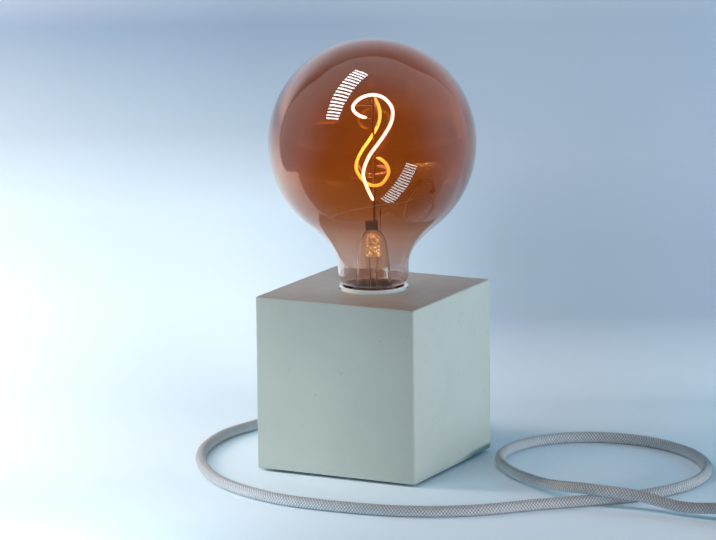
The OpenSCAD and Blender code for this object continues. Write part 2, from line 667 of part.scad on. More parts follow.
// The coil's middle line: it spirals in and out again, climbs a layer where it reverses,
// and rises a little over the tie's lower band
function ease(t) = let (s = min(max(t, 0), 1)) s * s * (3 - 2 * s);
function near_tie(a) = let (d = abs((a - tie_turn + 540) % 360 - 180)) d > 40 ? 0 : pow(cos(d * 90 / 40), 2);
function coil_point(i) = let (
  turn = i / rings_per_turn - coil_turns / 2, a = i * 360 / rings_per_turn,
  r = coil_in_r + coil_step * sqrt(turn * turn + 0.004)
) [coil_x + r * cos(a), coil_y + r * sin(a),
  cord_r + coil_layer * ease(turn * 2 + 0.5) + (tie_t + tie_slack) * near_tie(a)];
coil_line = concat(
  [[coil_entry_x, coil_y - cord_d, cord_r]],
  [for (i = [0:coil_turns * rings_per_turn]) coil_point(i)],
  [[coil_x - cord_d, coil_exit_y, cord_r + coil_layer]]);

module cord_coil() color(cord_color) tube(coil_line, cord_r, 6);

module tie_outline(grow) {
  tall = cord_d + coil_layer + 2 * tie_slack;
  translate([tie_r, tie_t + tall / 2])
    rounded_square(cord_d + 2 * tie_play + 2 * grow, tall + 2 * grow, tie_corner_r + grow);
}

module coil_tie() color([0.1, 0.1, 0.11])
  translate([coil_x, coil_y, 0]) rotate([0, 0, tie_turn]) translate([0, tie_w / 2, 0]) rotate([90, 0, 0])
    linear_extrude(tie_w) difference() {
      tie_outline(tie_t);
      tie_outline(0);
    }

module at_switch() translate([switch_x, switch_y, 0]) children();

module switch_outline(inset)
  rounded_square(switch_l - 2 * inset, switch_w - 2 * inset, switch_corner_r - inset);

module at_switch_screws() for (s = [-1, 1]) translate([s * boss_x, -s * boss_y, 0]) children();

module cord_ports() for (s = [0, 180]) rotate([0, 0, s]) translate([switch_l / 2 - 12, 0, entry_z])
  rotate([0, 90, 0]) cylinder(r = relief_bore_r, h = 14);

module switch_base() color([0.12, 0.12, 0.13]) at_switch() difference() {
  union() {
    difference() {
      linear_extrude(entry_z) switch_outline(0);
      translate([0, 0, switch_wall]) linear_extrude(entry_z) switch_outline(switch_wall);
    }
    at_switch_screws() cylinder(r = boss_r, h = entry_z);
  }
  cord_ports();
  at_switch_screws() translate([0, 0, -eps]) cylinder(d = switch_screw_d + 0.4, h = entry_z + 1);
  at_switch_screws() translate([0, 0, -eps]) cylinder(r = boss_r - 0.6, h = sink_depth + eps);
}

module switch_cover() color([0.12, 0.12, 0.13]) at_switch() difference() {
  union() {
    difference() {
      translate([0, 0, entry_z]) linear_extrude(switch_h - entry_z) switch_outline(0);
      translate([0, 0, entry_z - 1]) linear_extrude(switch_h - entry_z - switch_wall + 1)
        switch_outline(switch_wall);
    }
    at_switch_screws() translate([0, 0, entry_z]) cylinder(r = boss_r - 0.4, h = switch_h - entry_z - 1);
    for (s = [0, 180]) rotate([0, 0, s])
      translate([-lug_l / 2, rocker_w / 2 + rocker_gap, pivot_z - lug_h])
        cube([lug_l, lug_t, switch_h - 1 - pivot_z + lug_h]);
  }
  translate([-rocker_l / 2 - window_end_gap, -rocker_w / 2 - rocker_gap, entry_z - 1])
    cube([rocker_l + 2 * window_end_gap, rocker_w + 2 * rocker_gap, switch_h]);
  translate([0, 0, pivot_z]) rotate([90, 0, 0])
    cylinder(r = pivot_r + pivot_gap, h = rocker_w + 2 * rocker_gap + 2 * lug_t + 1, center = true);
  cord_ports();
  at_switch_screws() translate([0, 0, entry_z - 1]) cylinder(d = switch_screw_d + 0.2, h = 7);
}

module on_rocker() at_switch() translate([0, 0, pivot_z]) rotate([0, rocker_tilt, 0]) children();

module switch_rocker() color([0.16, 0.16, 0.17]) on_rocker() {
  translate([0, rocker_w / 2, 0]) rotate([90, 0, 0]) linear_extrude(rocker_w) polygon([
    [-rocker_l / 2, 5.2], [-rocker_l / 2, 1.6], [-7, -3], [7, -3], [rocker_l / 2, 1.6],
    [rocker_l / 2, 5.2], [0, 3.6]]);
  rotate([90, 0, 0]) cylinder(r = pivot_r, h = rocker_w + 2 * rocker_gap + 2 * lug_t, center = true);
}

// The moving bar lies on the rocker's underside and touches the terminal on the lowered side
module rocker_contact() color([0.85, 0.7, 0.4]) on_rocker()
  translate([-bar_l / 2, -2, -bar_drop]) cube([bar_l, 4, 0.5]);

module switch_terminals() color([0.85, 0.7, 0.4]) at_switch()
  for (s = [-1, 1]) translate([s * terminal_x - terminal_w / 2, -terminal_w / 2, switch_wall])
    cube([terminal_w, terminal_w, terminal_top - switch_wall]);

// One core passes the switch whole, the other is cut and ends at the two terminals
core_end_x = switch_l / 2 - tail_stub;
core_bend_x = core_end_x - core_d;
through_core = [
  [-core_bend_x, 1.5, entry_z - 1], [-18.5, 3.2, 6.6], [-10, 6.5, 4], [10, 6.5, 4], [18.5, 3.2, 6.6],
  [core_bend_x, 1.5, entry_z - 1]
];
cut_core = [
  [core_bend_x, -1.5, entry_z - 1], [18.5, -1.2, 6.4], [14.5, -0.6, 4.8],
  [terminal_x + terminal_w / 2, -0.4, 4.6]
];

module switch_cores() color([0.15, 0.3, 0.65]) at_switch() {
  tube(concat([[-core_end_x, 1.5, entry_z - 1]], smooth(through_core, 3),
    [[core_end_x, 1.5, entry_z - 1]]), core_d / 2, 8);
  for (s = [-1, 1])
    tube([for (p = concat([[core_end_x, -1.5, entry_z - 1]], smooth(cut_core, 2)))
      [s * p[0], p[1], p[2]]], core_d / 2, 8);
}

module switch_cord_ends() color(cord_color) at_switch() for (s = [0, 180]) rotate([0, 0, s])
  translate([core_end_x, 0, entry_z]) rotate([0, 90, 0]) cylinder(d = cord_d, h = tail_stub);

module switch_screws() color([0.75, 0.75, 0.77]) at_switch() at_switch_screws()
  translate([0, 0, sink_depth]) pan_screw(switch_screw_d, 12.5, boss_r - 0.9, 1.6);

// One side of the plug's body, from its front to its tail
plug_side = [[0, plug_w / 2 - plug_chamfer], [plug_chamfer, plug_w / 2], [9, plug_w / 2],
  [plug_l - 11, plug_waist_r], [plug_l, plug_tail_r]];

module at_plug() translate([plug_front_x, coil_exit_y, plug_z]) children();

module at_pins() for (s = [-1, 1]) translate([0, s * pin_step / 2, 0]) rotate([0, 90, 0]) children();

module plug_body() color([0.12, 0.12, 0.13]) at_plug() difference() {
  translate([0, 0, -plug_t / 2]) linear_extrude(plug_t) polygon([
    for (s = [1, -1]) for (p = s > 0 ? plug_side : [for (i = [len(plug_side) - 1:-1:0]) plug_side[i]])
      [p[0], s * p[1]]]);
  at_pins() translate([0, 0, -eps]) cylinder(d = pin_d, h = pin_inset + 1);
}

// Bare tip, thin stretch under the sleeve, and the end that is moulded into the plug
module plug_pins() color([0.85, 0.84, 0.8]) at_plug() at_pins() {
  translate([0, 0, -pin_l]) cylinder(d = pin_d, h = pin_l - sleeve_l);
  translate([0, 0, -sleeve_l]) cylinder(r = pin_d / 2 - sleeve_sink - sleeve_t, h = sleeve_l);
  cylinder(d = pin_d, h = pin_inset);
}

module pin_sleeves() color([0.12, 0.12, 0.13]) at_plug() at_pins()
  ring(pin_d / 2 - sleeve_sink, pin_d / 2 - sleeve_sink - sleeve_t, -sleeve_l, 0);

module plug_relief() color([0.12, 0.12, 0.13]) at_plug() translate([plug_l, 0, 0]) rotate([0, 90, 0])
  rotate_extrude() polygon(concat([[0, 0]], ribbed(0, plug_relief_l), [[0, plug_relief_l]]));

// The free cord's whole length and the coil's least gap to itself
whole_length = length_of(run_line) + switch_l + length_of(link_line) + length_of(coil_line)
  + length_of(tail_line);
coil_gap = min([for (i = [0:len(coil_line) - 1]) for (j = [i + 8:1:len(coil_line) - 1])
  norm(coil_line[i] - coil_line[j])]) - cord_d;
echo(cord_length = whole_length, coil_length = length_of(coil_line), coil_gap = coil_gap);

concrete_body();
base_pad();
base_plate();
base_screws();
thread_inserts();
cord_clamp();
clamp_bar();
clamp_screws();
strain_relief();
inner_cord();
live_core();
neutral_core();
nipple();
nipple_nut();
nipple_washer();
holder_dome();
holder_core();
terminal_screws();
holder_skirt();
thread_shell();
centre_contact();
side_contact();
bulb_glass();
bulb_cap();
cap_insulator();
cap_contact();
driver_board();
driver_parts();
glass_stem();
stem_sleeve();
centre_post();
filament_front();
filament_rear();
filament_supports();
lead_wires();
cord_run();
cord_link();
cord_coil();
cord_tail();
coil_tie();
switch_base();
switch_cover();
switch_rocker();
rocker_contact();
switch_terminals();
switch_cores();
switch_cord_ends();
switch_screws();
plug_body();
plug_pins();
pin_sleeves();
plug_relief();
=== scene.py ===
# Concrete cube table lamp with a smoked globe bulb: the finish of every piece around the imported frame.
# Metres, +Z up, origin on the surface under the middle of the cube, front face towards -Y.
import json
import math

import bmesh
import bpy
from mathutils import Matrix, Vector, noise

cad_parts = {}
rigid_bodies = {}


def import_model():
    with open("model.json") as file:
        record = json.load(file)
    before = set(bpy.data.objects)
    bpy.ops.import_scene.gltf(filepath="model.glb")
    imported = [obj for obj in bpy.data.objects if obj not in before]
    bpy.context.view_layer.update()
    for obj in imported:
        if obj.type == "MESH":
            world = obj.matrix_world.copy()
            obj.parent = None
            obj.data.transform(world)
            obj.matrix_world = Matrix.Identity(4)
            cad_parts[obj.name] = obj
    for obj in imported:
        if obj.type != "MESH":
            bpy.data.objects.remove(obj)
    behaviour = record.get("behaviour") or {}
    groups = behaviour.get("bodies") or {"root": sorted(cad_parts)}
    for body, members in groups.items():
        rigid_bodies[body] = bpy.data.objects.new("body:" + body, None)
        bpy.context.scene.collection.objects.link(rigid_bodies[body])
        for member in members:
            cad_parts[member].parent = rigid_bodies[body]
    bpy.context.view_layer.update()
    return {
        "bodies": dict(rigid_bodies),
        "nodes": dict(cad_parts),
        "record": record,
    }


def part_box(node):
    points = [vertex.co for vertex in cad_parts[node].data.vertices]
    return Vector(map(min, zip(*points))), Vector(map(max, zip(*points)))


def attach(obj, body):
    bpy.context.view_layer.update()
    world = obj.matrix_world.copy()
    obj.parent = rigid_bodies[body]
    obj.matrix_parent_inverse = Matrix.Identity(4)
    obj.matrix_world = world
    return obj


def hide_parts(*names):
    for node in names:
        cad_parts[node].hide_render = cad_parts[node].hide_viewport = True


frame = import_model()
nodes = frame["nodes"]

MM = 0.001
AXIS_Z = Vector((0, 0, 1))

# Places taken from the frame
cube_lo, cube_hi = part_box("concrete_body")
skirt_lo, skirt_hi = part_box("holder_skirt")
globe_lo, globe_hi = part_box("bulb_glass")
base_lo, base_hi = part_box("switch_base")
plug_lo, plug_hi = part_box("plug_body")
CUBE_EDGE = cube_hi[0] - cube_lo[0]
TOP_Z = cube_hi[2]
GLOBE_R = (globe_hi[0] - globe_lo[0]) / 2
GLOBE_Z = globe_hi[2] - GLOBE_R
EXIT_Z = 13 * MM
CORD_D = 6.5 * MM
CORD_R = CORD_D / 2


def put_in_scene(name, data, body=None):
    thing = bpy.data.objects.new(name, data)
    bpy.context.scene.collection.objects.link(thing)
    if body:
        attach(thing, body)
    return thing


# Camera at the photograph's viewing angle
VIEW_AZIMUTH = math.radians(27.135)
VIEW_ELEVATION = math.radians(11.226)
VIEW_ROLL = math.radians(-0.628)
VIEW_DISTANCE = 2.7672
VIEW_SIDE = -9.25 * MM
VIEW_HEIGHT = 117.31 * MM
LENS = 232.14
SENSOR = 36


def make_camera():
    az, el = VIEW_AZIMUTH, VIEW_ELEVATION
    back = Vector((math.sin(az) * math.cos(el), -math.cos(az) * math.cos(el), math.sin(el)))
    right = Vector((math.cos(az), math.sin(az), 0))
    up = back.cross(right)
    target = right * VIEW_SIDE + AXIS_Z * VIEW_HEIGHT
    turn = Matrix.Rotation(VIEW_ROLL, 3, back)
    side, top = turn @ right, turn @ up
    data = bpy.data.cameras.new("camera")
    data.lens = LENS
    data.sensor_width = SENSOR
    data.clip_end = 20
    camera = put_in_scene("camera", data)
    place = target + back * VIEW_DISTANCE
    camera.matrix_world = Matrix((
        (side.x, top.x, back.x, place.x),
        (side.y, top.y, back.y, place.y),
        (side.z, top.z, back.z, place.z),
        (0, 0, 0, 1)))
    bpy.context.scene.camera = camera
    return right, back


# Mesh tools

def spline_point(a, b, c, d, t):
    return 0.5 * (2 * b + (c - a) * t + (2 * a - 5 * b + 4 * c - d) * t * t
                  + (3 * b - a - 3 * c + d) * t ** 3)


def smooth_path(points, steps):
    """A curve through the points, with a number of steps between each two."""
    p = [Vector(q) for q in points]
    last = len(p) - 1
    path = []
    for i in range(last):
        for s in range(steps):
            path.append(spline_point(p[max(i - 1, 0)], p[i], p[i + 1], p[min(i + 2, last)], s / steps))
    return path + [p[last]]


def path_length(path):
    return sum((b - a).length for a, b in zip(path, path[1:]))


def even_path(path, step):
    """The same line with its points about one step apart."""
    total = path_length(path)
    count = max(2, round(total / step))
    spaced, i, gone = [path[0]], 0, 0.0
    for k in range(1, count):
        want = total * k / count
        while gone + (path[i + 1] - path[i]).length < want:
            gone += (path[i + 1] - path[i]).length
            i += 1
        piece = path[i + 1] - path[i]
        spaced.append(path[i] + piece * ((want - gone) / piece.length))
    return spaced + [path[-1]]


def new_object(name, verts, faces, finish, smooth=True, body="root"):
    """A piece that has the finish of a slot, or one of its own."""
    mesh = bpy.data.meshes.new(name)
    mesh.from_pydata([tuple(v) for v in verts], [], faces)
    mesh.validate()
    for face in mesh.polygons:
        face.use_smooth = smooth
    mesh.materials.append(FINISHES.get(finish, finish))
    return put_in_scene(name, mesh, body)


def outward(piece, weld=0.0):
    """Joins the points that lie closer than weld, and turns all faces so that they look out."""
    shape = bmesh.new()
    shape.from_mesh(piece.data)
    if weld:
        bmesh.ops.remove_doubles(shape, verts=shape.verts, dist=weld)
    bmesh.ops.recalc_face_normals(shape, faces=shape.faces)
    shape.to_mesh(piece.data)
    shape.free()
    return piece


def crease(piece, degrees=32):
    """Keeps corners sharper than this angle crisp, and the rest smooth."""
    piece.data.set_sharp_from_angle(angle=math.radians(degrees))
    return piece


def ring_faces(n, m, loop=False, close_ring=True):
    """Quads between m rings of n points each."""
    faces = []
    for i in range(m if loop else m - 1):
        j = (i + 1) % m
        for k in range(n if close_ring else n - 1):
            l = (k + 1) % n
            faces.append((i * n + k, i * n + l, j * n + l, j * n + k))
    return faces


def angles(count):
    """Angles spaced evenly round a circle."""
    return [2 * math.pi * k / count for k in range(count)]


def flat_ring(radius, count, z, squash=1.0):
    return [Vector((radius * math.cos(a), radius * squash * math.sin(a), z)) for a in angles(count)]


def loft(name, rings, finish, loop=False, body="root", weld=0.0):
    """A skin over rings of equal count, which closes into a loop or else has two ends."""
    n, m = len(rings[0]), len(rings)
    faces = ring_faces(n, m, loop)
    if not loop:
        faces += [tuple(range(n))[::-1], tuple(range((m - 1) * n, m * n))]
    return outward(new_object(name, [p for ring in rings for p in ring], faces, finish, body=body), weld)


def lathe(name, profile, finish, turns=96, place=Matrix.Identity(4), body="root"):
    """Turns a profile of radius and height round +Z; place moves it to where it sits."""
    rings = [[place @ Vector((r * math.cos(a), r * math.sin(a), z)) for r, z in profile]
             for a in angles(turns)]
    return loft(name, rings, finish, True, body, 1e-7)


def frames_along(path, start_up):
    """A side and an up vector at each point of a path, turned as little as possible."""
    last = len(path) - 1
    up = Vector(start_up)
    frames = []
    for i, point in enumerate(path):
        ahead = (path[min(i + 1, last)] - path[max(i - 1, 0)]).normalized()
        side = up.cross(ahead).normalized()
        up = ahead.cross(side).normalized()
        frames.append((point, side, up))
    return frames


def tube(name, path, radius, finish, sides=12, start_up=(0, 0, 1), body="root", radii=None, with_uv=False):
    """A round tube along a path, closed at both ends; its UV runs along it in metres and once round."""
    rings = []
    for i, (point, side, up) in enumerate(frames_along(path, start_up)):
        r = radii[i] if radii else radius
        rings.append([point + r * (math.cos(a) * side + math.sin(a) * up) for a in angles(sides)])
    piece = crease(loft(name, rings, finish, body=body), 60)
    if with_uv:
        along = [0.0]
        for a, b in zip(path, path[1:]):
            along.append(along[-1] + (b - a).length)
        layer = piece.data.uv_layers.new(name="braid")
        for face in piece.data.polygons:
            for corner, v in zip(face.loop_indices, face.vertices):
                i, k = divmod(v, sides)
                wraps = k == 0 and any(w % sides == sides - 1 for w in face.vertices)
                layer.data[corner].uv = (along[i], 1.0 if wraps else k / sides)
    return piece


def join(name, pieces):
    """Makes one piece of several that have the same finish."""
    shape = bmesh.new()
    for piece in pieces:
        shape.from_mesh(piece.data)
    whole = pieces[0]
    shape.to_mesh(whole.data)
    shape.free()
    for piece in pieces[1:]:
        bpy.data.objects.remove(piece, do_unlink=True)
    whole.name = name
    return whole


def rounded_ring(w, d, r, z, count=48):
    """A ring round a rectangle with rounded corners, at one height."""
    r = max(min(r, w / 2 - 1e-5, d / 2 - 1e-5), 1e-5)
    ring = []
    per = count // 4
    for corner, (sx, sy) in enumerate(((1, 1), (-1, 1), (-1, -1), (1, -1))):
        for k in range(per):
            a = math.pi / 2 * (corner + k / (per - 1))
            ring.append(Vector((sx * (w / 2 - r) + r * math.cos(a), sy * (d / 2 - r) + r * math.sin(a), z)))
    return ring


def cut_away(piece, cutters):
    """Cuts shapes out of a piece for good."""
    for cutter in cutters:
        step = piece.modifiers.new("cut", "BOOLEAN")
        step.operation = "DIFFERENCE"
        step.solver = "EXACT"
        step.object = cutter
    bpy.context.view_layer.update()
    shaped = piece.evaluated_get(bpy.context.evaluated_depsgraph_get())
    mesh = bpy.data.meshes.new_from_object(shaped)
    piece.modifiers.clear()
    piece.data = mesh
    for cutter in cutters:
        bpy.data.objects.remove(cutter, do_unlink=True)
    return piece


def rod_cutter(radius, start, end, sides=96):
    """A plain rod that is only used to cut with."""
    up = (1, 0, 0) if start[1] != end[1] else (0, 1, 0)
    return tube("cutter", [Vector(start), Vector(end)], radius, "concrete", sides, up, body=None)


# Finishes

def rgba(r, g, b):
    return (r, g, b, 1.0)


class Nodes:
    """A tree of shader nodes, with short ways to add to it."""

    def __init__(self, tree):
        self.tree = tree

    def fill(self, node, **values):
        """Gives a node's inputs values or links, by their names or as i and their number."""
        for key, value in values.items():
            socket = node.inputs[int(key[1:]) if key[1:].isdigit() else key.replace("_", " ")]
            if isinstance(value, bpy.types.NodeSocket):
                self.tree.links.new(value, socket)
            else:
                socket.default_value = value
        return node.outputs

    def add(self, kind, settings=None, **values):
        """A new node's outputs, once its settings and inputs are made."""
        node = self.tree.nodes.new("ShaderNode" + kind)
        for key, value in (settings or {}).items():
            setattr(node, key, value)
        return self.fill(node, **values)

    def use(self, shared, **values):
        return self.add("Group", {"node_tree": shared}, **values)

    def maths(self, operation, *values):
        return self.add("Math", {"operation": operation}, **{f"i{k}": v for k, v in enumerate(values)})[0]

    def times(self, a, b):
        return self.maths("MULTIPLY", a, b)

    def plus(self, a, b):
        return self.maths("ADD", a, b)

    def remap(self, value, a, b, c=0.0, d=1.0, kind="LINEAR"):
        return self.add("MapRange", {"interpolation_type": kind}, i0=value, i1=a, i2=b, i3=c, i4=d)[0]

    def blend(self, share, a, b, kind="MIX"):
        return self.add("Mix", {"data_type": "RGBA", "blend_type": kind}, i0=share, i6=a, i7=b)[2]

    def steps(self, value, stops):
        """A colour ramp from pairs of a place and a colour."""
        outputs = self.add("ValToRGB", Fac=value)
        ramp = outputs[0].node.color_ramp.elements
        ramp.remove(ramp[1])
        ramp[0].position = stops[0][0]
        ramp[0].color = rgba(*stops[0][1])
        for place, colour in stops[1:]:
            ramp.new(place).color = rgba(*colour)
        return outputs[0]

    def place(self):
        return self.add("TexCoord")["Object"]

    def stretched(self, across, along):
        return self.add("Mapping", Vector=self.place(), Scale=(across, across, along))[0]

    def noise(self, scale, detail, where=None, **more):
        where = self.place() if where is None else where
        return self.add("TexNoise", Vector=where, Scale=scale, Detail=detail, **more)[0]

    def dot(self, a, b):
        return self.add("VectorMath", {"operation": "DOT_PRODUCT"}, i0=a, i1=b)["Value"]

    def bump(self, height, distance, strength=1.0):
        return self.add("Bump", Height=height, Distance=distance, Strength=strength)[0]

    def let_through(self, share, shader, tint=rgba(1, 1, 1)):
        """Lets a share of the rays straight through, tinted."""
        clear = self.add("BsdfTransparent", Color=tint)
        mixed = self.add("MixShader", i0=share, i1=shader.outputs[0], i2=clear[0])
        self.fill(self.tree.nodes["Material Output"], i0=mixed[0])

    def light_shadow(self, shader, tint):
        """Lights what lies behind the glass, in the glass's tint."""
        self.let_through(self.add("LightPath")["Is Shadow Ray"], shader,
                         self.add("Gamma", Color=tint, Gamma=0.5)[0])


def group(name, outputs, **inputs):
    """A shader group: its nodes, the values that come in, and its end."""
    tree = bpy.data.node_groups.new(name, "ShaderNodeTree")
    for label, value in inputs.items():
        kind = "NodeSocketFloat" if isinstance(value, float) else "NodeSocketColor"
        socket = tree.interface.new_socket(name=label.replace("_", " "), in_out="INPUT", socket_type=kind)
        socket.default_value = value
    for label in outputs:
        kind = "NodeSocketColor" if label == "Colour" else "NodeSocketFloat"
        tree.interface.new_socket(name=label, in_out="OUTPUT", socket_type=kind)
    return Nodes(tree), tree.nodes.new("NodeGroupInput").outputs, tree.nodes.new("NodeGroupOutput")


def make_mottle():
    """Cloudy and fine changes of tone over a surface."""
    t, given, end = group("mottle", ("Colour", "Mask"), Colour=rgba(0.5, 0.5, 0.5),
                          Second_colour=rgba(0.4, 0.4, 0.4), Cloud_scale=40.0, Fine_scale=900.0, Amount=0.5)
    both = t.plus(t.times(t.noise(given[2], 5.0, Roughness=0.6), 0.75), t.times(t.noise(given[3], 2.0), 0.25))
    mask = t.remap(both, 0.38, 0.62)
    t.fill(end, i0=t.blend(t.times(mask, given[4]), given[0], given[1]), i1=mask)
    return t.tree


def make_grain():
    """Fine grain of a moulded, cast or drawn surface: a roughness and a height."""
    t, given, end = group("grain", ("Roughness", "Height"), Scale=1500.0, Roughness=0.4, Spread=0.1)
    wide = t.noise(t.times(given[0], 0.08), 3.0)
    change = t.times(t.maths("SUBTRACT", wide, 0.5), given[2])
    t.fill(end, i0=t.plus(given[1], t.times(change, 2.0)), i1=t.noise(given[0], 3.0, Roughness=0.55))
    return t.tree


def make_pores():
    """Small round pits of cast concrete, few and of uneven size."""
    t, given, end = group("pores", ("Mask",), Scale=260.0, Size=0.16, Share=0.25)
    cells = t.add("TexVoronoi", Vector=t.place(), Scale=given[0])
    chance = t.add("SeparateColor", Color=cells["Color"])
    size = t.times(chance[1], given[1])
    pit = t.remap(cells["Distance"], t.times(size, 0.6), t.plus(size, 0.02), 1.0, 0.0, "SMOOTHSTEP")
    t.fill(end, i0=t.times(pit, t.maths("LESS_THAN", chance[0], given[2])))
    return t.tree


MOTTLE, GRAIN, PORES = make_mottle(), make_grain(), make_pores()


def new_finish(name):
    """A new material, its nodes and its shader."""
    finish = bpy.data.materials.new(name)
    finish.use_nodes = True
    return finish, Nodes(finish.node_tree), finish.node_tree.nodes["Principled BSDF"]


def plain_finish(name, colour, second, roughness, spread=0.1, metallic=0.0, grain=1500.0, depth=0.02 * MM,
                 cloud=60.0, **sockets):
    """A moulded, drawn or plated surface with its own tone changes, roughness and grain."""
    finish, t, shader = new_finish(name)
    tone = t.use(MOTTLE, Colour=rgba(*colour), Second_colour=rgba(*second), Cloud_scale=cloud,
                 Fine_scale=grain * 0.7, Amount=0.6)
    surface = t.use(GRAIN, Scale=grain, Roughness=roughness, Spread=spread)
    t.fill(shader, Base_Color=tone["Colour"], Roughness=surface["Roughness"], Metallic=metallic,
           Normal=t.bump(surface["Height"], depth), **sockets)
    return finish


def concrete_finish():
    """Sealed, smooth cast concrete: grey-green, faint clouds, a satin sheen and a few pores, darkened with
    painted shade.
    """
    finish, t, shader = new_finish("concrete")
    tone = t.use(MOTTLE, Colour=rgba(*CONCRETE), Second_colour=rgba(*CONCRETE_DEEP), Cloud_scale=22.0,
                 Fine_scale=1300.0, Amount=0.55)["Colour"]
    pores = t.use(PORES, Scale=230.0, Size=0.17, Share=0.10)[0]
    dots = t.use(PORES, Scale=620.0, Size=0.2, Share=0.16)[0]
    pit_depth_and_shade = t.maths("MAXIMUM", pores, t.times(dots, 0.6))
    surface = t.use(GRAIN, Scale=1800.0, Roughness=0.42, Spread=0.16)
    height = t.maths("SUBTRACT", t.times(surface["Height"], 0.10), pit_depth_and_shade)
    # Painted shade: the pits are also darker in colour
    t.fill(shader, Base_Color=t.blend(t.times(pit_depth_and_shade, 0.35), tone, rgba(*(0.45 * c for c in CONCRETE))),
           Roughness=surface["Roughness"], Normal=t.bump(height, 0.25 * MM, 0.8), Specular_IOR_Level=0.5)
    return finish


def braid_finish():
    """Silver-grey textile braid: two sets of strands that cross, each of a few fine threads, with painted
    shade where the braid lies low between them.
    """
    finish, t, shader = new_finish("cord_braid")
    uv = t.add("SeparateXYZ", Vector=t.add("UVMap", {"uv_map": "braid"})[0])
    along = t.maths("DIVIDE", uv[0], BRAID_PITCH)
    round_it = t.times(uv[1], BRAID_STRANDS)
    first, second = t.plus(along, round_it), t.maths("SUBTRACT", along, round_it)
    over = t.maths("FLOORED_MODULO", t.plus(t.maths("FLOOR", first), t.maths("FLOOR", second)), 2.0)

    def arch(value):
        return t.maths("SINE", t.times(t.maths("FRACT", value), math.pi))

    def strand(value, other):
        threads = t.maths("ABSOLUTE", t.maths("SINE", t.times(value, math.pi * 4)))
        crown = t.times(t.maths("POWER", arch(value), 0.5), t.plus(0.72, t.times(arch(other), 0.28)))
        return t.times(crown, t.plus(0.8, t.times(threads, 0.2)))

    height = t.add("Mix", {"data_type": "FLOAT"}, i0=over, i2=strand(first, second),
                   i3=strand(second, first))[0]
    tone = t.use(MOTTLE, Colour=rgba(*CORD_LIGHT), Second_colour=rgba(*CORD_MID), Cloud_scale=300.0,
                 Fine_scale=2500.0, Amount=0.7)["Colour"]
    # Painted shade: the colour darkens where the braid lies low, between the strands
    t.fill(shader, Base_Color=t.blend(t.remap(height, 0.25, 0.9), rgba(*CORD_HOLLOW_SHADE), tone),
           Roughness=t.remap(height, 0.2, 1.0, 0.75, 0.42), Normal=t.bump(height, 0.35 * MM),
           Sheen_Weight=0.3, Sheen_Roughness=0.4)
    return finish


def glass_finish():
    """Smoked glass: deep amber brown on the globe, fading to a faint pink at the neck, with a painted glow of
    the strips' light on the upper globe.
    """
    finish, t, shader = new_finish("smoked_glass")
    level = t.remap(t.add("SeparateXYZ", Vector=t.place())[2], TOP_Z, TOP_Z + 2 * GLOBE_R)
    soft = t.remap(t.noise(14.0, 2.0), 0.3, 0.7, 0.94, 1.0)
    tint = t.blend(1.0, t.steps(level, GLASS_TINTS), t.add("CombineColor", i0=soft, i1=soft, i2=soft)[0],
                   "MULTIPLY")
    # Painted glow: the glass emits most where it faces the viewer, on the upper globe
    facing = t.maths("SUBTRACT", 1.0, t.add("LayerWeight", Blend=0.5)["Facing"])
    painted_glow = t.times(t.maths("POWER", facing, 5.0), t.remap(level, 0.30, 0.50))
    t.fill(shader, Base_Color=tint, Transmission_Weight=1.0, Roughness=0.0, IOR=1.5, Coat_Weight=1.0,
           Coat_Roughness=0.0, Normal=t.bump(t.noise(26.0, 1.0), 0.05 * MM, 0.3),
           Emission_Color=t.blend(painted_glow, rgba(0, 0, 0), rgba(*PAINTED_GLASS_GLOW)), Emission_Strength=1.0)
    t.light_shadow(shader, tint)
    return finish


def stem_finish():
    """Clear glass of the stem with a warm tone and faint draw lines."""
    finish, t, shader = new_finish("stem_glass")
    lines = t.noise(1.0, 3.0, t.stretched(900, 60))
    colour = t.blend(lines, rgba(0.97, 0.86, 0.72), rgba(1.0, 0.94, 0.86))
    t.fill(shader, Base_Color=colour, Roughness=t.remap(lines, 0.3, 0.7, 0.0, 0.06), Transmission_Weight=1.0,
           IOR=1.2, Normal=t.bump(lines, 0.15 * MM, 0.5))
    t.light_shadow(shader, colour)
    return finish


def thin_tube_finish():
    """Thin clear tube: almost unseen face on, stronger and warmer towards its edges, with draw lines."""
    finish, t, shader = new_finish("thin_tube_glass")
    lines = t.noise(1.0, 2.0, t.stretched(1500, 50))
    edge = t.maths("POWER", t.add("LayerWeight", Blend=0.4)["Facing"], 3.0)
    t.fill(shader, Alpha=t.plus(t.times(edge, 0.5), t.remap(lines, 0.5, 0.75, 0.03, 0.3)), Roughness=0.08,
           Base_Color=t.blend(lines, rgba(0.50, 0.30, 0.25), rgba(0.75, 0.55, 0.48)))
    return finish


def pinch_finish():
    """Glass squeezed flat round the wires: crackled, with golden glints that are painted highlights, in pale
    colour and emission.
    """
    finish, t, shader = new_finish("pinched_glass")
    folds = t.noise(1.0, 4.0, t.stretched(700, 1000), Distortion=1.6)
    # Painted highlights: along this band of the folds the glass turns pale and glows
    painted_glints = t.remap(folds, 0.54, 0.62)
    t.fill(shader, Base_Color=t.blend(painted_glints, rgba(0.50, 0.38, 0.24), rgba(1.0, 0.95, 0.85)),
           Roughness=t.remap(folds, 0.3, 0.7, 0.3, 0.05), Transmission_Weight=0.6, IOR=1.5,
           Emission_Color=t.blend(painted_glints, rgba(0.06, 0.04, 0.02), rgba(1.0, 0.90, 0.62)),
           Emission_Strength=1.5, Normal=t.bump(folds, 0.8 * MM))
    return finish


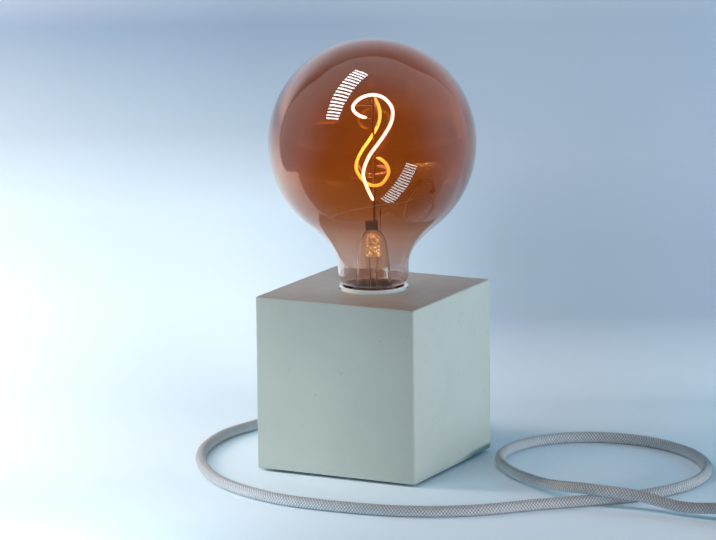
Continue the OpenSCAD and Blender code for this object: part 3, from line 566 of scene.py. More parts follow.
def glow_finish(name, colour, body_colour, strength):
    """A light-emitting strip under its coat of phosphor, a little uneven along it."""
    finish, t, shader = new_finish(name)
    dots = t.noise(700.0, 2.0)
    share = t.remap(dots, 0.35, 0.65)
    t.fill(shader, Emission_Color=t.blend(share, rgba(*colour), rgba(*(0.86 * c for c in colour))),
           Base_Color=t.blend(share, rgba(*body_colour), rgba(*(0.8 * c for c in body_colour))),
           Emission_Strength=strength, Roughness=0.5, Normal=t.bump(dots, 0.03 * MM))
    return finish


CONCRETE = (0.47, 0.53, 0.49)
CONCRETE_DEEP = (0.41, 0.465, 0.43)
CORD_LIGHT = (0.80, 0.86, 0.90)
CORD_MID = (0.62, 0.67, 0.71)
# Painted shade in the hollows of the braid
CORD_HOLLOW_SHADE = (0.19, 0.205, 0.22)
BRAID_PITCH = 1.9 * MM
BRAID_STRANDS = 8.0
# Tint of one wall of the glass, by its height from the cube's top to the globe's top
GLASS_TINTS = [(0.0, (0.88, 0.72, 0.67)), (0.14, (0.90, 0.69, 0.61)), (0.24, (0.89, 0.61, 0.49)),
               (0.30, (0.84, 0.49, 0.35)), (0.37, (0.63, 0.29, 0.155)), (0.44, (0.62, 0.25, 0.085)),
               (0.60, (0.70, 0.26, 0.06)), (1.0, (0.70, 0.28, 0.10))]
# Painted glow: emission on the glass that stands in for the strips' light spread forwards, strongest face on
PAINTED_GLASS_GLOW = (0.026, 0.010, 0.0015)

FINISHES = {
    "concrete": concrete_finish(),
    "cord_braid": braid_finish(),
    "smoked_glass": glass_finish(),
    "stem_glass": stem_finish(),
    "filament_white": glow_finish("filament_white", (1.0, 0.95, 2.2), (0.9, 0.7, 0.4), 7.0),
    "filament_amber": glow_finish("filament_amber", (1.0, 1.1, 0.6), (0.9, 0.5, 0.1), 1.8),
}
METAL = {"metallic": 1.0}
# Plain finishes: two tones, the roughness and what differs from the usual
PLAIN = {
    "pad_rubber": ((.02, .02, .022), (.03, .03, .032), .75, {}),
    "plate_steel": ((.55, .56, .57), (.48, .49, .5), .34, METAL | {"depth": .01 * MM}),
    "screw_steel": ((.6, .6, .62), (.5, .5, .53), .28, METAL),
    "insert_brass": ((.72, .52, .24), (.6, .42, .18), .33, METAL),
    "black_polyamide": ((.018, .018, .02), (.028, .028, .03), .42, {}),
    "black_rubber": ((.016, .016, .018), (.026, .026, .028), .58, {}),
    "brown_core": ((.13, .05, .025), (.1, .04, .02), .4, {}),
    "blue_core": ((.03, .08, .32), (.02, .06, .26), .4, {}),
    # Painted glow: the porcelain emits faintly to brighten its rim, and its cool tone offsets the bulb's warm
    # light
    "white_porcelain": ((.84, .92, .96), (.80, .87, .91), .14, {
        "spread": .06, "cloud": 30, "depth": .008 * MM, "Coat_Weight": .6, "Coat_Roughness": .04,
        "Emission_Color": rgba(0.9, 1.0, 1.05), "Emission_Strength": 0.15}),
    "core_ceramic": ((.78, .75, .69), (.7, .67, .6), .55, {}),
    "shell_nickel": ((.72, .68, .6), (.6, .56, .48), .24, METAL),
    "contact_brass": ((.8, .6, .3), (.68, .5, .24), .28, METAL),
    "cap_nickel": ((.74, .72, .68), (.62, .6, .56), .2, METAL),
    "black_glass": ((.008, .008, .01), (.014, .014, .018), .08, {"Coat_Weight": .8}),
    "board_green": ((.02, .13, .06), (.015, .1, .05), .4, {}),
    "driver_black": ((.02, .02, .022), (.03, .03, .034), .45, {}),
    "sleeve_brown": ((.16, .11, .085), (.10, .07, .055), .5, {"cloud": 260}),
    "post_metal": ((.35, .17, .08), (.2, .1, .05), .35, METAL),
    "support_metal": ((.6, .38, .18), (.45, .28, .13), .3, METAL),
    "tie_black": ((.02, .02, .022), (.035, .035, .038), .7, {"grain": 2600, "depth": .08 * MM}),
    "switch_black": ((.02, .02, .022), (.028, .028, .03), .36, {"grain": 2200, "depth": .03 * MM}),
    "rocker_black": ((.026, .026, .028), (.034, .034, .037), .28, {"depth": .012 * MM}),
    "plug_black": ((.018, .018, .02), (.027, .027, .03), .4, {"grain": 2200, "depth": .03 * MM}),
}
for slot, (tone, second, roughness, more) in PLAIN.items():
    FINISHES[slot] = plain_finish(slot, tone, second, roughness, **more)


def stands_for(piece, *replaced, slot=None):
    """Hides the nodes that a piece stands for; the slot is not used."""
    if replaced:
        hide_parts(*replaced)
    return piece


# Cord: its route on the surface, in metres, as x, y and the height of its underside
RELIEF_TIP_Y = 76.5 * MM
SWITCH_X, SWITCH_Y, ENTRY_Z = 0.299, -0.05, 0.009
SWITCH_START = SWITCH_X - 0.034
SWITCH_END = SWITCH_X + 0.034
COIL_X, COIL_Y = 0.332, 0.020
COIL_IN_R = 0.0295
COIL_STEP = 0.0071
COIL_LAYER = 0.007
COIL_TURNS = 2.25
COIL_OUT_R = COIL_IN_R + COIL_STEP * COIL_TURNS / 2
TIE_TURN = 215
TIE_REACH = 40
TIE_LIFT = 0.00095
PLUG_TAIL_X = 0.286
PLUG_Z = 0.00685
RUN_ROUTE = [
    (0, 0.083, EXIT_Z - CORD_R), (-0.002, 0.104, 0.0054), (-0.018, 0.126, 0.0006), (-0.047, 0.131, 0),
    (-0.076, 0.111, 0), (-0.095, 0.077, 0), (-0.105, 0.038, 0), (-0.109, 0.008, 0), (-0.102, -0.029, 0),
    (-0.084, -0.064, 0), (-0.052, -0.098, 0), (-0.008, -0.119, 0), (0.036, -0.122, 0), (0.078, -0.1155, 0),
    (0.112, -0.098, 0), (0.140, -0.070, 0), (0.165, -0.047, 0), (0.187, -0.023, 0), (0.201, 0.012, 0),
    (0.196, 0.050, 0), (0.170, 0.084, 0), (0.131, 0.101, 0), (0.093, 0.094, 0), (0.070, 0.066, 0),
    (0.070, 0.029, 0), (0.092, -0.003, 0), (0.128, -0.031, 0.0022), (0.162, -0.049, 0.0069),
    (0.193, -0.0465, 0.0054), (0.224, -0.049, 0.0022), (SWITCH_START - CORD_D, SWITCH_Y, ENTRY_Z - CORD_R)]
LINK_ROUTE = [
    (SWITCH_END + CORD_D, SWITCH_Y, ENTRY_Z - CORD_R), (SWITCH_END + 0.029, -0.039, 0.0008),
    (COIL_X + COIL_OUT_R, -0.015, 0), (COIL_X + COIL_OUT_R, COIL_Y - 2 * CORD_D, 0)]
TAIL_ROUTE = [(COIL_X - 2 * CORD_D, COIL_Y + COIL_OUT_R, COIL_LAYER),
              (COIL_X - 3 * CORD_D, COIL_Y + COIL_OUT_R, 0.0036)]
STRIP_Y = 11 * MM
CORE_R = 1.1 * MM
NIPPLE_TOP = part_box("nipple")[1].z / MM
CORE_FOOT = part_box("holder_core")[0].z / MM
# The cores' way through the lamp and the switch, in millimetres
CORE_ROUTE = [(1.2, 11, 13), (1.3, 7, 13.4), (1.5, 3, 17), (1.6, 0.4, 24), (1.6, 0, 33),
              (1.6, 0, NIPPLE_TOP - 2), (2.2, 1.2, NIPPLE_TOP + 1.4), (3.4, 4, NIPPLE_TOP + 3.2),
              (4, 7.5, CORE_FOOT - 1.6), (4, 10.5, CORE_FOOT - 1.2)]
THROUGH_CORE = [(-25, 1.5, 8), (-22.8, 1.5, 8), (-18.5, 3.2, 6.6), (-10, 6.5, 4), (10, 6.5, 4),
                (18.5, 3.2, 6.6), (22.8, 1.5, 8), (25, 1.5, 8)]
CUT_CORE = [(25, -1.5, 8), (22.8, -1.5, 8), (18.5, -1.2, 6.4), (14.5, -0.6, 4.8), (12, -0.4, 4.6)]
ROUTE_STEPS = 6
CORD_RING_STEP = 2.5 * MM
CORD_SIDES = 20


def lifted(route):
    return [(x, y, z + CORD_R) for x, y, z in route]


def coil_path(rings_per_turn=48):
    """Spirals in and out again, and climbs a layer where it turns back."""
    points = []
    for i in range(int(COIL_TURNS * rings_per_turn) + 1):
        turn = i / rings_per_turn - COIL_TURNS / 2
        angle = math.radians(i * 360 / rings_per_turn)
        r = COIL_IN_R + COIL_STEP * math.sqrt(turn * turn + 0.004)
        climb = min(max(turn * 2 + 0.5, 0), 1)
        from_tie = abs((math.degrees(angle) - TIE_TURN + 540) % 360 - 180)
        bulge = math.cos(math.radians(from_tie * 90 / TIE_REACH)) ** 2 if from_tie < TIE_REACH else 0
        points.append(Vector((COIL_X + r * math.cos(angle), COIL_Y + r * math.sin(angle),
                              CORD_R + COIL_LAYER * climb * climb * (3 - 2 * climb) + TIE_LIFT * bulge)))
    return points


def braided(name, path):
    return tube(name, path, CORD_R, "cord_braid", CORD_SIDES, with_uv=True)


def in_switch(x, y, z):
    return Vector((SWITCH_X + x * MM, SWITCH_Y + y * MM, z * MM))


def make_cords():
    """The cord from the lamp to the switch, and from the switch through the coil to the plug."""
    run = [Vector((0, RELIEF_TIP_Y, EXIT_Z))] + smooth_path(lifted(RUN_ROUTE), ROUTE_STEPS)
    run = even_path(run + [Vector((SWITCH_START, SWITCH_Y, ENTRY_Z))], CORD_RING_STEP)
    rest = [Vector((SWITCH_END, SWITCH_Y, ENTRY_Z))] + smooth_path(lifted(LINK_ROUTE), ROUTE_STEPS)
    turns = [Vector((COIL_X + COIL_OUT_R, COIL_Y - CORD_D, CORD_R))] + coil_path()
    turns.append(Vector((COIL_X - CORD_D, COIL_Y + COIL_OUT_R, COIL_LAYER + CORD_R)))
    rest += turns + smooth_path(lifted(TAIL_ROUTE), ROUTE_STEPS)
    rest = even_path(rest + [Vector((PLUG_TAIL_X, COIL_Y + COIL_OUT_R, PLUG_Z))], CORD_RING_STEP)
    front = stands_for(braided("cord_to_switch", run), "cord_run")
    back = stands_for(braided("cord_to_plug", rest), "cord_link", "cord_coil", "cord_tail")
    return (front, run), (back, rest)


def make_inner_cord():
    """The cord's stretch inside the cube, the stubs in the switch, and the cores in both."""
    inner = braided("inner_cord_run", [Vector((0, y, EXIT_Z)) for y in (STRIP_Y, RELIEF_TIP_Y)])
    stands_for(inner, "inner_cord")
    ends = [braided("end", [in_switch(s * x, 0, ENTRY_Z / MM) for x in (25, 34)]) for s in (-1, 1)]
    stands_for(join("switch_cord_stubs", ends), "switch_cord_ends")
    for name, slot, node, side in (("live_wire", "brown_core", "live_core", 1),
                                   ("neutral_wire", "blue_core", "neutral_core", -1)):
        line = [(side * x * MM, (side if z > CHAMBER_TOP / MM else 1) * y * MM, z * MM)
                for x, y, z in CORE_ROUTE]
        stands_for(tube(name, smooth_path(line, 6), CORE_R, slot, 16, (1, 0, 0)), node)
    whole = [in_switch(*p) for p in THROUGH_CORE]
    cores = [whole[:1] + smooth_path(whole[1:-1], 6) + whole[-1:]]
    for s in (-1, 1):
        line = [in_switch(s * x, y, z) for x, y, z in CUT_CORE]
        cores.append(line[:1] + smooth_path(line[1:], 6))
    wires = [tube("core", core, CORE_R, "blue_core", 16, (0, 1, 0)) for core in cores]
    stands_for(join("switch_wires", wires), "switch_cores")
    return inner


# Concrete cube

WELL_R = 21 * MM
CHAMBER_R = 29 * MM
CHAMBER_TOP = 39.5 * MM
PLATE_RECESS_R = 39.3 * MM
PLATE_RECESS_TOP = 3.8 * MM
WELL_FLOOR = 52.1 * MM
NIPPLE_HOLE_R = 5.4 * MM
OUTLET_R = 4.95 * MM
INSERT_R = 2.5 * MM
INSERT_CIRCLE_R = 34.5 * MM
INSERT_TOP = 12.8 * MM
ARRIS_R = 1.1 * MM
# How many waves per metre the uneven arrises and faces have, and how far a face lies in
ARRIS_WAVES = 90
ARRIS_FINE_WAVES = 340
FACE_WAVES = 28
FACE_SINK = 0.05 * MM


def grid_stops(edge, fine, count):
    """Distances across a face: close together at both edges, wide in the middle."""
    near = [edge * 0.5 - fine * (k / 5) ** 1.4 for k in range(6)]
    middle = [-(edge / 2 - fine) + (edge - 2 * fine) * k / count for k in range(1, count)]
    return sorted([-v for v in near] + middle + near)


def cube_shell():
    """A cube with uneven arrises: each corner radius changes a little along its edge."""
    half = CUBE_EDGE / 2
    centre = Vector((0, 0, TOP_Z - half))
    stops = grid_stops(CUBE_EDGE, 3.2 * MM, 26)
    verts, faces = [], []
    for axis in range(3):
        for side in (-1, 1):
            start = len(verts)
            faces += [[start + k for k in face]
                      for face in ring_faces(len(stops), len(stops), close_ring=False)]
            for u in stops:
                for v in stops:
                    p = Vector()
                    p[axis], p[(axis + 1) % 3], p[(axis + 2) % 3] = side * half, u, v
                    verts.append(rounded_place(p, half) + centre)
    return outward(new_object("concrete_cube", verts, faces, "concrete"), 0.02 * MM)


def rounded_place(p, half):
    """Where a point of a sharp cube lies on the cast one: rounded at the arrises, never proud."""
    wander = noise.noise(p * ARRIS_WAVES) * 0.5 + noise.noise(p * ARRIS_FINE_WAVES) * 0.35
    r = ARRIS_R * (1 + 0.45 * wander)
    inner = Vector([max(-(half - r), min(half - r, c)) for c in p])
    out = p - inner
    place = inner + out.normalized() * r if out.length > 1e-9 else p
    sink = FACE_SINK * (1 + noise.noise(p * FACE_WAVES))
    return place * (1 - sink / half)


def make_cube():
    low, high = cube_lo[2] - 2 * MM, TOP_Z + 2 * MM
    cutters = [
        rod_cutter(WELL_R, (0, 0, WELL_FLOOR), (0, 0, high)),
        rod_cutter(CHAMBER_R, (0, 0, low), (0, 0, CHAMBER_TOP)),
        rod_cutter(PLATE_RECESS_R, (0, 0, low), (0, 0, PLATE_RECESS_TOP)),
        rod_cutter(NIPPLE_HOLE_R, (0, 0, CHAMBER_TOP - MM), (0, 0, WELL_FLOOR + MM)),
        rod_cutter(OUTLET_R, (0, 20 * MM, EXIT_Z), (0, 60 * MM, EXIT_Z), 48)]
    for k in range(4):
        a = math.radians(45 + 90 * k)
        x, y = INSERT_CIRCLE_R * math.cos(a), INSERT_CIRCLE_R * math.sin(a)
        cutters.append(rod_cutter(INSERT_R, (x, y, low), (x, y, INSERT_TOP), 32))
    cube = crease(cut_away(cube_shell(), cutters), 38)
    return stands_for(cube, "concrete_body")


# Lampholder

RIM_W = 2.25 * MM
LIP_H = 1.0 * MM
LIP_GROOVE = 1.2 * MM
# Painted shade: the black lining in the holder's mouth stands in for shade there
SHADE_LINER_T = 0.5 * MM
SKIRT_R = skirt_hi[0]
RIM_Z = skirt_hi[2]
SKIRT_FOOT = skirt_lo[2]
SPIGOT_R = 18.3 * MM
THREAD_PITCH = 3.62 * MM
SHELL_Z = 81 * MM
SHELL_H = 18.1 * MM
SHELL_TOP = SHELL_Z + SHELL_H
SHELL_R = 13.0 * MM
SHELL_OUT_R = 14.5 * MM
CAP_R = 12.65 * MM
CAP_THREAD_Z = 82.4 * MM
THREAD_WAVE = 0.55 * MM


def arc_points(cx, cz, r, start, end, count):
    return [(cx + r * math.cos(math.radians(start + (end - start) * k / count)),
             cz + r * math.sin(math.radians(start + (end - start) * k / count))) for k in range(count + 1)]


def make_skirt():
    """White glazed skirt with its soft rim, bright with glaze and a painted glow, open down to the threaded
    shell; black inside its mouth as painted shade.
    """
    mouth = SKIRT_R - RIM_W
    lip = LIP_H / 2
    profile = [(SPIGOT_R, SKIRT_FOOT), (SKIRT_R - 0.3 * MM, SKIRT_FOOT), (SKIRT_R, SKIRT_FOOT + 0.3 * MM),
               (SKIRT_R, TOP_Z - 1.6 * MM), (SKIRT_R - LIP_GROOVE, TOP_Z - 1.2 * MM),
               (SKIRT_R - LIP_GROOVE, RIM_Z - LIP_H)]
    profile += arc_points(SKIRT_R - lip, RIM_Z - lip, lip, -90, 90, 12)
    profile += arc_points(mouth + 0.6 * MM, RIM_Z - 0.6 * MM, 0.6 * MM, 90, 180, 6)
    profile += [(mouth, SHELL_TOP + 5 * MM), (mouth - 0.2 * MM, SHELL_TOP + 2.6 * MM),
                (SHELL_OUT_R + 0.8 * MM, SHELL_TOP + 0.5 * MM),
                (SHELL_OUT_R + 0.1 * MM, SHELL_TOP), (SHELL_OUT_R + 0.1 * MM, SHELL_Z),
                (SHELL_OUT_R - 0.7 * MM, SHELL_Z), (SHELL_OUT_R - 0.7 * MM, SKIRT_FOOT + 5.2 * MM),
                (SPIGOT_R, SKIRT_FOOT + 5.2 * MM)]
    skirt = crease(lathe("holder_rim", profile, "white_porcelain", 128), 30)
    stands_for(skirt, "holder_skirt")
    # Painted shade: a black liner and funnel inside the white mouth, where the holder lies in shade
    low, high = SHELL_TOP + 5.2 * MM, RIM_Z - 1.1 * MM
    shade_liner = lathe("holder_shade_liner", [(mouth - SHADE_LINER_T, low), (mouth - 0.02 * MM, low),
                                   (mouth - 0.02 * MM, high), (mouth - 0.2 * MM, high + 0.25 * MM),
                                   (mouth - SHADE_LINER_T, high)],
                  "black_polyamide", 128)
    shade_funnel = lathe("shade_funnel", [(SHELL_OUT_R + 0.9 * MM, SHELL_TOP + 0.7 * MM),
                              (mouth - 0.3 * MM, SHELL_TOP + 2.8 * MM),
                              (mouth - 0.1 * MM, low - 0.1 * MM), (mouth - SHADE_LINER_T, low - 0.1 * MM),
                              (mouth - 0.8 * MM, SHELL_TOP + 3.2 * MM),
                              (SHELL_OUT_R + 0.9 * MM, SHELL_TOP + 1.1 * MM)],
                   "black_polyamide", 128)
    stands_for(crease(join("holder_shade_liner", [shade_liner, shade_funnel]), 40))


def helix_skin(name, rows, finish, body="root"):
    """A ring of a screw thread; each row has its height, middle radius and wave."""
    rings = []
    for z, r, wave in rows:
        lobed = [(a, r + wave * math.cos(2 * math.pi * z / THREAD_PITCH - a)) for a in angles(72)]
        rings.append([Vector((s * math.cos(a), s * math.sin(a), z)) for a, s in lobed])
    return crease(loft(name, rings, finish, loop=True, body=body), 50)


def make_threads():
    rows = 100
    shell = [(SHELL_Z + SHELL_H * i / rows, SHELL_R, THREAD_WAVE) for i in range(rows, -1, -1)]
    shell += [(SHELL_Z, SHELL_OUT_R, 0), (SHELL_TOP, SHELL_OUT_R, 0)]
    stands_for(helix_skin("threaded_shell", shell, "shell_nickel"), "thread_shell")
    cap_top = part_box("bulb_cap")[1].z
    rim_r = CAP_R + 0.65 * MM
    cap = [(CAP_THREAD_Z + SHELL_H * i / rows, CAP_R, THREAD_WAVE) for i in range(rows + 1)]
    cap += [(CAP_THREAD_Z + SHELL_H + 0.6 * MM, rim_r, 0), (cap_top - 0.2 * MM, rim_r, 0),
            (cap_top, rim_r - 0.15 * MM, 0), (cap_top, rim_r - 0.5 * MM, 0),
            (TOP_Z - 5.7 * MM, rim_r - 0.5 * MM, 0), (TOP_Z - 6.3 * MM, CAP_R - 1.25 * MM, 0),
            (CAP_THREAD_Z, CAP_R - 1.25 * MM, 0)]
    stands_for(helix_skin("bulb_screw_cap", cap, "cap_nickel", "bulb"), "bulb_cap")


# Bulb

NECK_R = 21.3 * MM
NECK_FOOT_R = 8 * MM
NECK_FOOT_H = 9 * MM
NECK_FOOT_TURN = 78
FOOT_R = 12.7 * MM
FOOT_Z = TOP_Z - 5.5 * MM
NECK_TOP = TOP_Z + 14 * MM
FLARE_PULL = 14 * MM
GLASS_T = 1.0 * MM
JOINT_TURN = math.radians(39.7)
BELL_T = 0.9 * MM
BELL_LINE = [(11.65, -4.5), (10.9, 3), (9.9, 12), (9.2, 20), (8.6, 26), (7.2, 31), (5, 34), (3.2, 35)]
PINCH_FOOT = 20.0 * MM
PINCH_TOP = 32.9 * MM
PINCH_R = 4.85 * MM
PINCH_STEPS = 12
TUBE_R = 4.9 * MM
TUBE_T = 1.0 * MM


def bezier_points(a, b, c, d, count):
    points = []
    for k in range(1, count + 1):
        t = k / count
        s = 1 - t
        points.append(tuple(s ** 3 * p + 3 * s * s * t * q + 3 * s * t * t * u + t ** 3 * v
                            for p, q, u, v in zip(a, b, c, d)))
    return points


def glass_outline():
    """The bulb's outer outline from its foot to the globe's top."""
    foot = arc_points(NECK_R - NECK_FOOT_R, TOP_Z + NECK_FOOT_H, NECK_FOOT_R, -NECK_FOOT_TURN, 0, 14)
    joint = (GLOBE_R * math.sin(JOINT_TURN), GLOBE_Z - GLOBE_R * math.cos(JOINT_TURN))
    ahead = (joint[0] - FLARE_PULL * math.cos(JOINT_TURN), joint[1] - FLARE_PULL * math.sin(JOINT_TURN))
    flare = bezier_points((NECK_R, NECK_TOP), (NECK_R, TOP_Z + 24 * MM), ahead, joint, 20)
    globe = arc_points(0, GLOBE_Z, GLOBE_R, math.degrees(JOINT_TURN) - 90, 90, 60)[1:]
    return [(FOOT_R, FOOT_Z), (FOOT_R, TOP_Z + 0.4 * MM)] + foot + [(NECK_R, NECK_TOP)] + flare + globe


def inset_outline(outline, t):
    """The same outline drawn in by a wall's thickness."""
    inner = []
    last = len(outline) - 1
    for i, (r, z) in enumerate(outline):
        r0, z0 = outline[max(i - 1, 0)]
        r1, z1 = outline[min(i + 1, last)]
        along = math.hypot(r1 - r0, z1 - z0)
        inner.append((max(r - t * (z1 - z0) / along, 0), z + t * (r1 - r0) / along))
    inner[0] = (outline[0][0] - t, outline[0][1])
    inner[-1] = (0, outline[-1][1] - t)
    return inner


def make_glass():
    outline = glass_outline()
    outline[-1] = (0, outline[-1][1])
    profile = outline + inset_outline(outline, GLASS_T)[::-1]
    glass = crease(lathe("globe_glass", profile, "smoked_glass", 160, body="bulb"), 50)
    return stands_for(glass, "bulb_glass")


def make_stem():
    """Glass stem: a flared bell with a round shoulder, the tube inside it and the pinched top."""
    outer = [(r * MM, TOP_Z + h * MM) for r, h in BELL_LINE]
    soft = smooth_path([(r, 0, z) for r, z in outer], 4)
    line = [(p.x, p.z) for p in soft]
    inner = inset_outline(line, BELL_T)
    inner[-1] = (line[-1][0] - BELL_T, line[-1][1] - BELL_T * 0.6)
    bell = lathe("glass_stem_bell", line + inner[::-1], "stem_glass", body="bulb")
    low, top, high = TOP_Z - 3 * MM, TOP_Z + PINCH_FOOT, TOP_Z + PINCH_TOP
    end = top - 0.1 * MM
    pipe = lathe("stem_tube", [(TUBE_R, low), (TUBE_R, end), (TUBE_R - TUBE_T, end), (TUBE_R - TUBE_T, low)],
                 thin_tube_finish(), 64, body="bulb")
    rings = []
    for k in range(PINCH_STEPS + 1):
        flat = min(k / PINCH_STEPS * 2.2, 1)
        w = PINCH_R * (1 - 0.10 * flat) + 0.25 * MM * math.sin(k * 2.1)
        d = PINCH_R * (1 - 0.60 * flat) + 0.2 * MM * math.sin(k * 1.7)
        rings.append(flat_ring(w, 32, top + (high - top) * k / PINCH_STEPS, d / w))
    stands_for(loft("stem_pinch", rings, pinch_finish(), body="bulb"), slot="stem_glass")
    stands_for(pipe, slot="stem_glass")
    return stands_for(bell, "glass_stem")


# The strips' shapes: across, towards the viewer, and height from the globe's middle, in millimetres
STRIP_TURN = math.radians(27)
POST_X = 0.9
FRONT_ROUTE = [
    (0.3, 1.9, -34.8), (-3.6, 3.2, -25.8), (-5.5, 4.5, -18.7), (-4.2, 6, -12.2), (-1.2, 7.5, -5.8),
    (2.9, 8, -0.2), (7.9, 7.4, 6.7), (11.5, 6, 13.2), (12.4, 5, 19.8), (10.3, 4, 24.5), (6.1, 3.2, 28),
    (0.5, 2.4, 29.2), (-5.5, 0.8, 27.6), (-9.8, -1.5, 24), (-11.3, -3, 20.3), (-9.1, -3.8, 16.9),
    (-5.5, -3.6, 15), (-3, -3, 14.8)]
REAR_ROUTE = [
    (1.7, -2.6, 26.9), (4.5, -4.4, 20.4), (4.8, -6, 13.9), (3, -7.2, 8.1), (-0.7, -8, 1.7),
    (-5.5, -7.4, -5), (-8.8, -5.8, -10.9), (-9.8, -4, -16.1), (-7.3, -1.6, -21.1), (-3.6, 1.4, -24.3),
    (1.1, 4.2, -25.3), (6.1, 5.4, -23.5), (9.7, 5.4, -17.3), (8.5, 4.2, -12.6), (4.8, 2.8, -9.4),
    (2.6, 2, -9)]
SUPPORT_WIRES = [
    [(0.9, 0.69, 29.2), (0.9, 1.2, 29.2), (0.9, 1.4, 29.2)],
    [(0.9, -0.69, 27), (0.9, -1.3, 27), (0.9, -1.6, 27)],
    [(0.21, 0, 22.2), (-0.29, 0, 22.2), (-4, -1.2, 22.2), (-9.6, -2.1, 22.2)],
    [(0.21, 0, 14.6), (-0.29, 0, 14.6), (-1, -1.8, 14.2), (-2.2, -3, 13.7)],
    [(1.59, 0, 10.3), (2.09, 0, 10.3), (3.4, -3.4, 10.3), (3.4, -5.4, 10.6)],
    [(1.59, 0, -9), (2.09, 0, -9), (2.4, 0.55, -9.5), (2.8, 1, -9.9)],
    [(0.21, 0, -21), (-0.29, 0, -21), (-4.5, -1.6, -21), (-8.5, -3.6, -22.4), (-13.4, -3.2, -20.9)]]
LEAD_RISE = [(4.4, -0.6, -53), (4.6, -0.4, -45), (4.4, 0, -38), (3, 1, -36), (0.6, 1.9, -35.3)]
STRIP_R = 0.95 * MM
STRIP_STEP = 0.8 * MM
WIRE_R = 0.3 * MM
POST_R = 0.65 * MM
POST_STEPS = 150
WELD_H = 0.03 * MM


def in_globe(points):
    """From across, towards the viewer and height to places in the lamp."""
    c, s = math.cos(STRIP_TURN), math.sin(STRIP_TURN)
    return [(MM * (c * x + s * y), MM * (s * x - c * y), GLOBE_Z + MM * z) for x, y, z in points]


def make_strip(name, route, finish, node):
    path = even_path(smooth_path(in_globe(route), 8), STRIP_STEP)
    radii = [STRIP_R] * len(path)
    for k, share in enumerate((0.35, 0.75, 0.95)):
        radii[k] = radii[-1 - k] = STRIP_R * share
    return stands_for(tube(name, path, STRIP_R, finish, 16, (0.3, 1, 0.1), "bulb", radii), node)


def make_wires():
    wires = []
    for wire in SUPPORT_WIRES:
        line = in_globe(wire)
        line = [Vector(line[0])] + smooth_path(line[1:], 6)
        wires.append(tube("support", line, WIRE_R, "support_metal", 10, (0.05, 0.2, 1), "bulb"))
    stands_for(join("strip_supports", wires), "filament_supports")
    board_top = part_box("driver_board")[1].z
    lines = [smooth_path(in_globe(LEAD_RISE), 8)]
    for s in (-1, 1):
        line = [(s * 1.5 * MM, 0, board_top), (s * 2 * MM, 0, board_top + 5 * MM),
                (s * 2.6 * MM, 0, TOP_Z + 21.9 * MM)]
        lines.append(smooth_path(line, 4))
    leads = [tube("lead", line, WIRE_R, "support_metal", 10, (0, 1, 0), "bulb") for line in lines]
    stands_for(join("lead_in_wires", leads), "lead_wires")


def make_post():
    """The post with the small welds that hold the supports, and the sleeve at its foot."""
    foot, top = ((end.z - GLOBE_Z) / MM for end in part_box("centre_post"))
    path, radii = [], []
    for k in range(POST_STEPS + 1):
        h = foot + (top - foot) * k / POST_STEPS
        path.append(Vector(in_globe([(POST_X, 0, h)])[0]))
        near = min(abs(h - wire[0][2]) for wire in SUPPORT_WIRES)
        radii.append(POST_R + WELD_H * max(0, 1 - near / 0.8))
    stands_for(tube("strip_post", path, POST_R, "post_metal", 16, (0, 1, 0), "bulb", radii), "centre_post")
    wide, deep, high, edge = 7.6 * MM, 4.4 * MM, 5.6 * MM, 0.5 * MM
    rings = []
    for k in range(5):
        a = math.pi / 8 * k
        inset = 2 * edge * (1 - math.sin(a))
        rings.append(rounded_ring(wide - inset, deep - inset, edge, edge * (1 - math.cos(a)) - high / 2, 32))
    rings += [[Vector((p.x, p.y, -p.z)) for p in ring] for ring in reversed(rings)]
    turn = Matrix.Rotation(STRIP_TURN, 4, "Z") @ Matrix.Translation((-0.8 * MM, 0, TOP_Z + 37.9 * MM))
    sleeve = loft("post_sleeve", [[turn @ p for p in ring] for ring in rings], "sleeve_brown", body="bulb")
    stands_for(sleeve, "stem_sleeve")


# Pieces on the cord

RELIEF_RIBS = 5


def ribbed_profile(z0, length, foot_r, tip_r, bore_r):
    """A taper of soft ribs, from its foot up, with its bore."""
    step = (length - MM) / RELIEF_RIBS
    profile = []
    for i in range(RELIEF_RIBS):
        for share, sink in ((0.04, 0.12), (0.12, 0), (0.46, 0), (0.53, 0.1), (0.6, 0.62), (0.68, 0.7),
                            (0.84, 0.7), (0.92, 0.6)):
            r = foot_r + (tip_r - foot_r) * (i + share) / RELIEF_RIBS
            profile.append((r - sink * MM, z0 + step * (i + share)))
    profile += [(tip_r, z0 + length - MM), (tip_r - 0.15 * MM, z0 + length - 0.4 * MM),
                (tip_r - 0.4 * MM, z0 + length)]
    return profile + [(bore_r, z0 + length)]


def along_axis(origin, direction):
    """Turns +Z into a direction and moves it to a place."""
    turn = AXIS_Z.rotation_difference(Vector(direction)).to_matrix().to_4x4()
    return Matrix.Translation(Vector(origin)) @ turn


def make_reliefs():
    half = CUBE_EDGE / 2
    foot_r, tip_r = CORD_R + 2.6 * MM, CORD_R + 1.1 * MM
    body_r, flange_r, bore = CORD_R + 1.6 * MM, CORD_R + 3.8 * MM, CORD_R + 0.1 * MM
    start = 30 * MM
    profile = [(bore, start), (body_r, start), (body_r, half), (flange_r, half),
               (flange_r, half + 1.4 * MM), (flange_r - 0.5 * MM, half + 2 * MM)]
    profile += ribbed_profile(half + 2 * MM, 22 * MM, foot_r, tip_r, bore)
    lamp_relief = lathe("cord_relief", profile, "black_rubber", 48, along_axis((0, 0, EXIT_Z), (0, 1, 0)))
    profile = [(0, 0), (foot_r, 0)] + ribbed_profile(0, 24 * MM, foot_r, tip_r, 0)
    plug_relief = lathe("plug_cord_relief", profile, "plug_black", 48,
                        along_axis((plug_hi[0], COIL_Y + COIL_OUT_R, PLUG_Z), (1, 0, 0)))
    stands_for(crease(lamp_relief, 40), "strain_relief")
    stands_for(crease(plug_relief, 40), "plug_relief")
    return lamp_relief, plug_relief


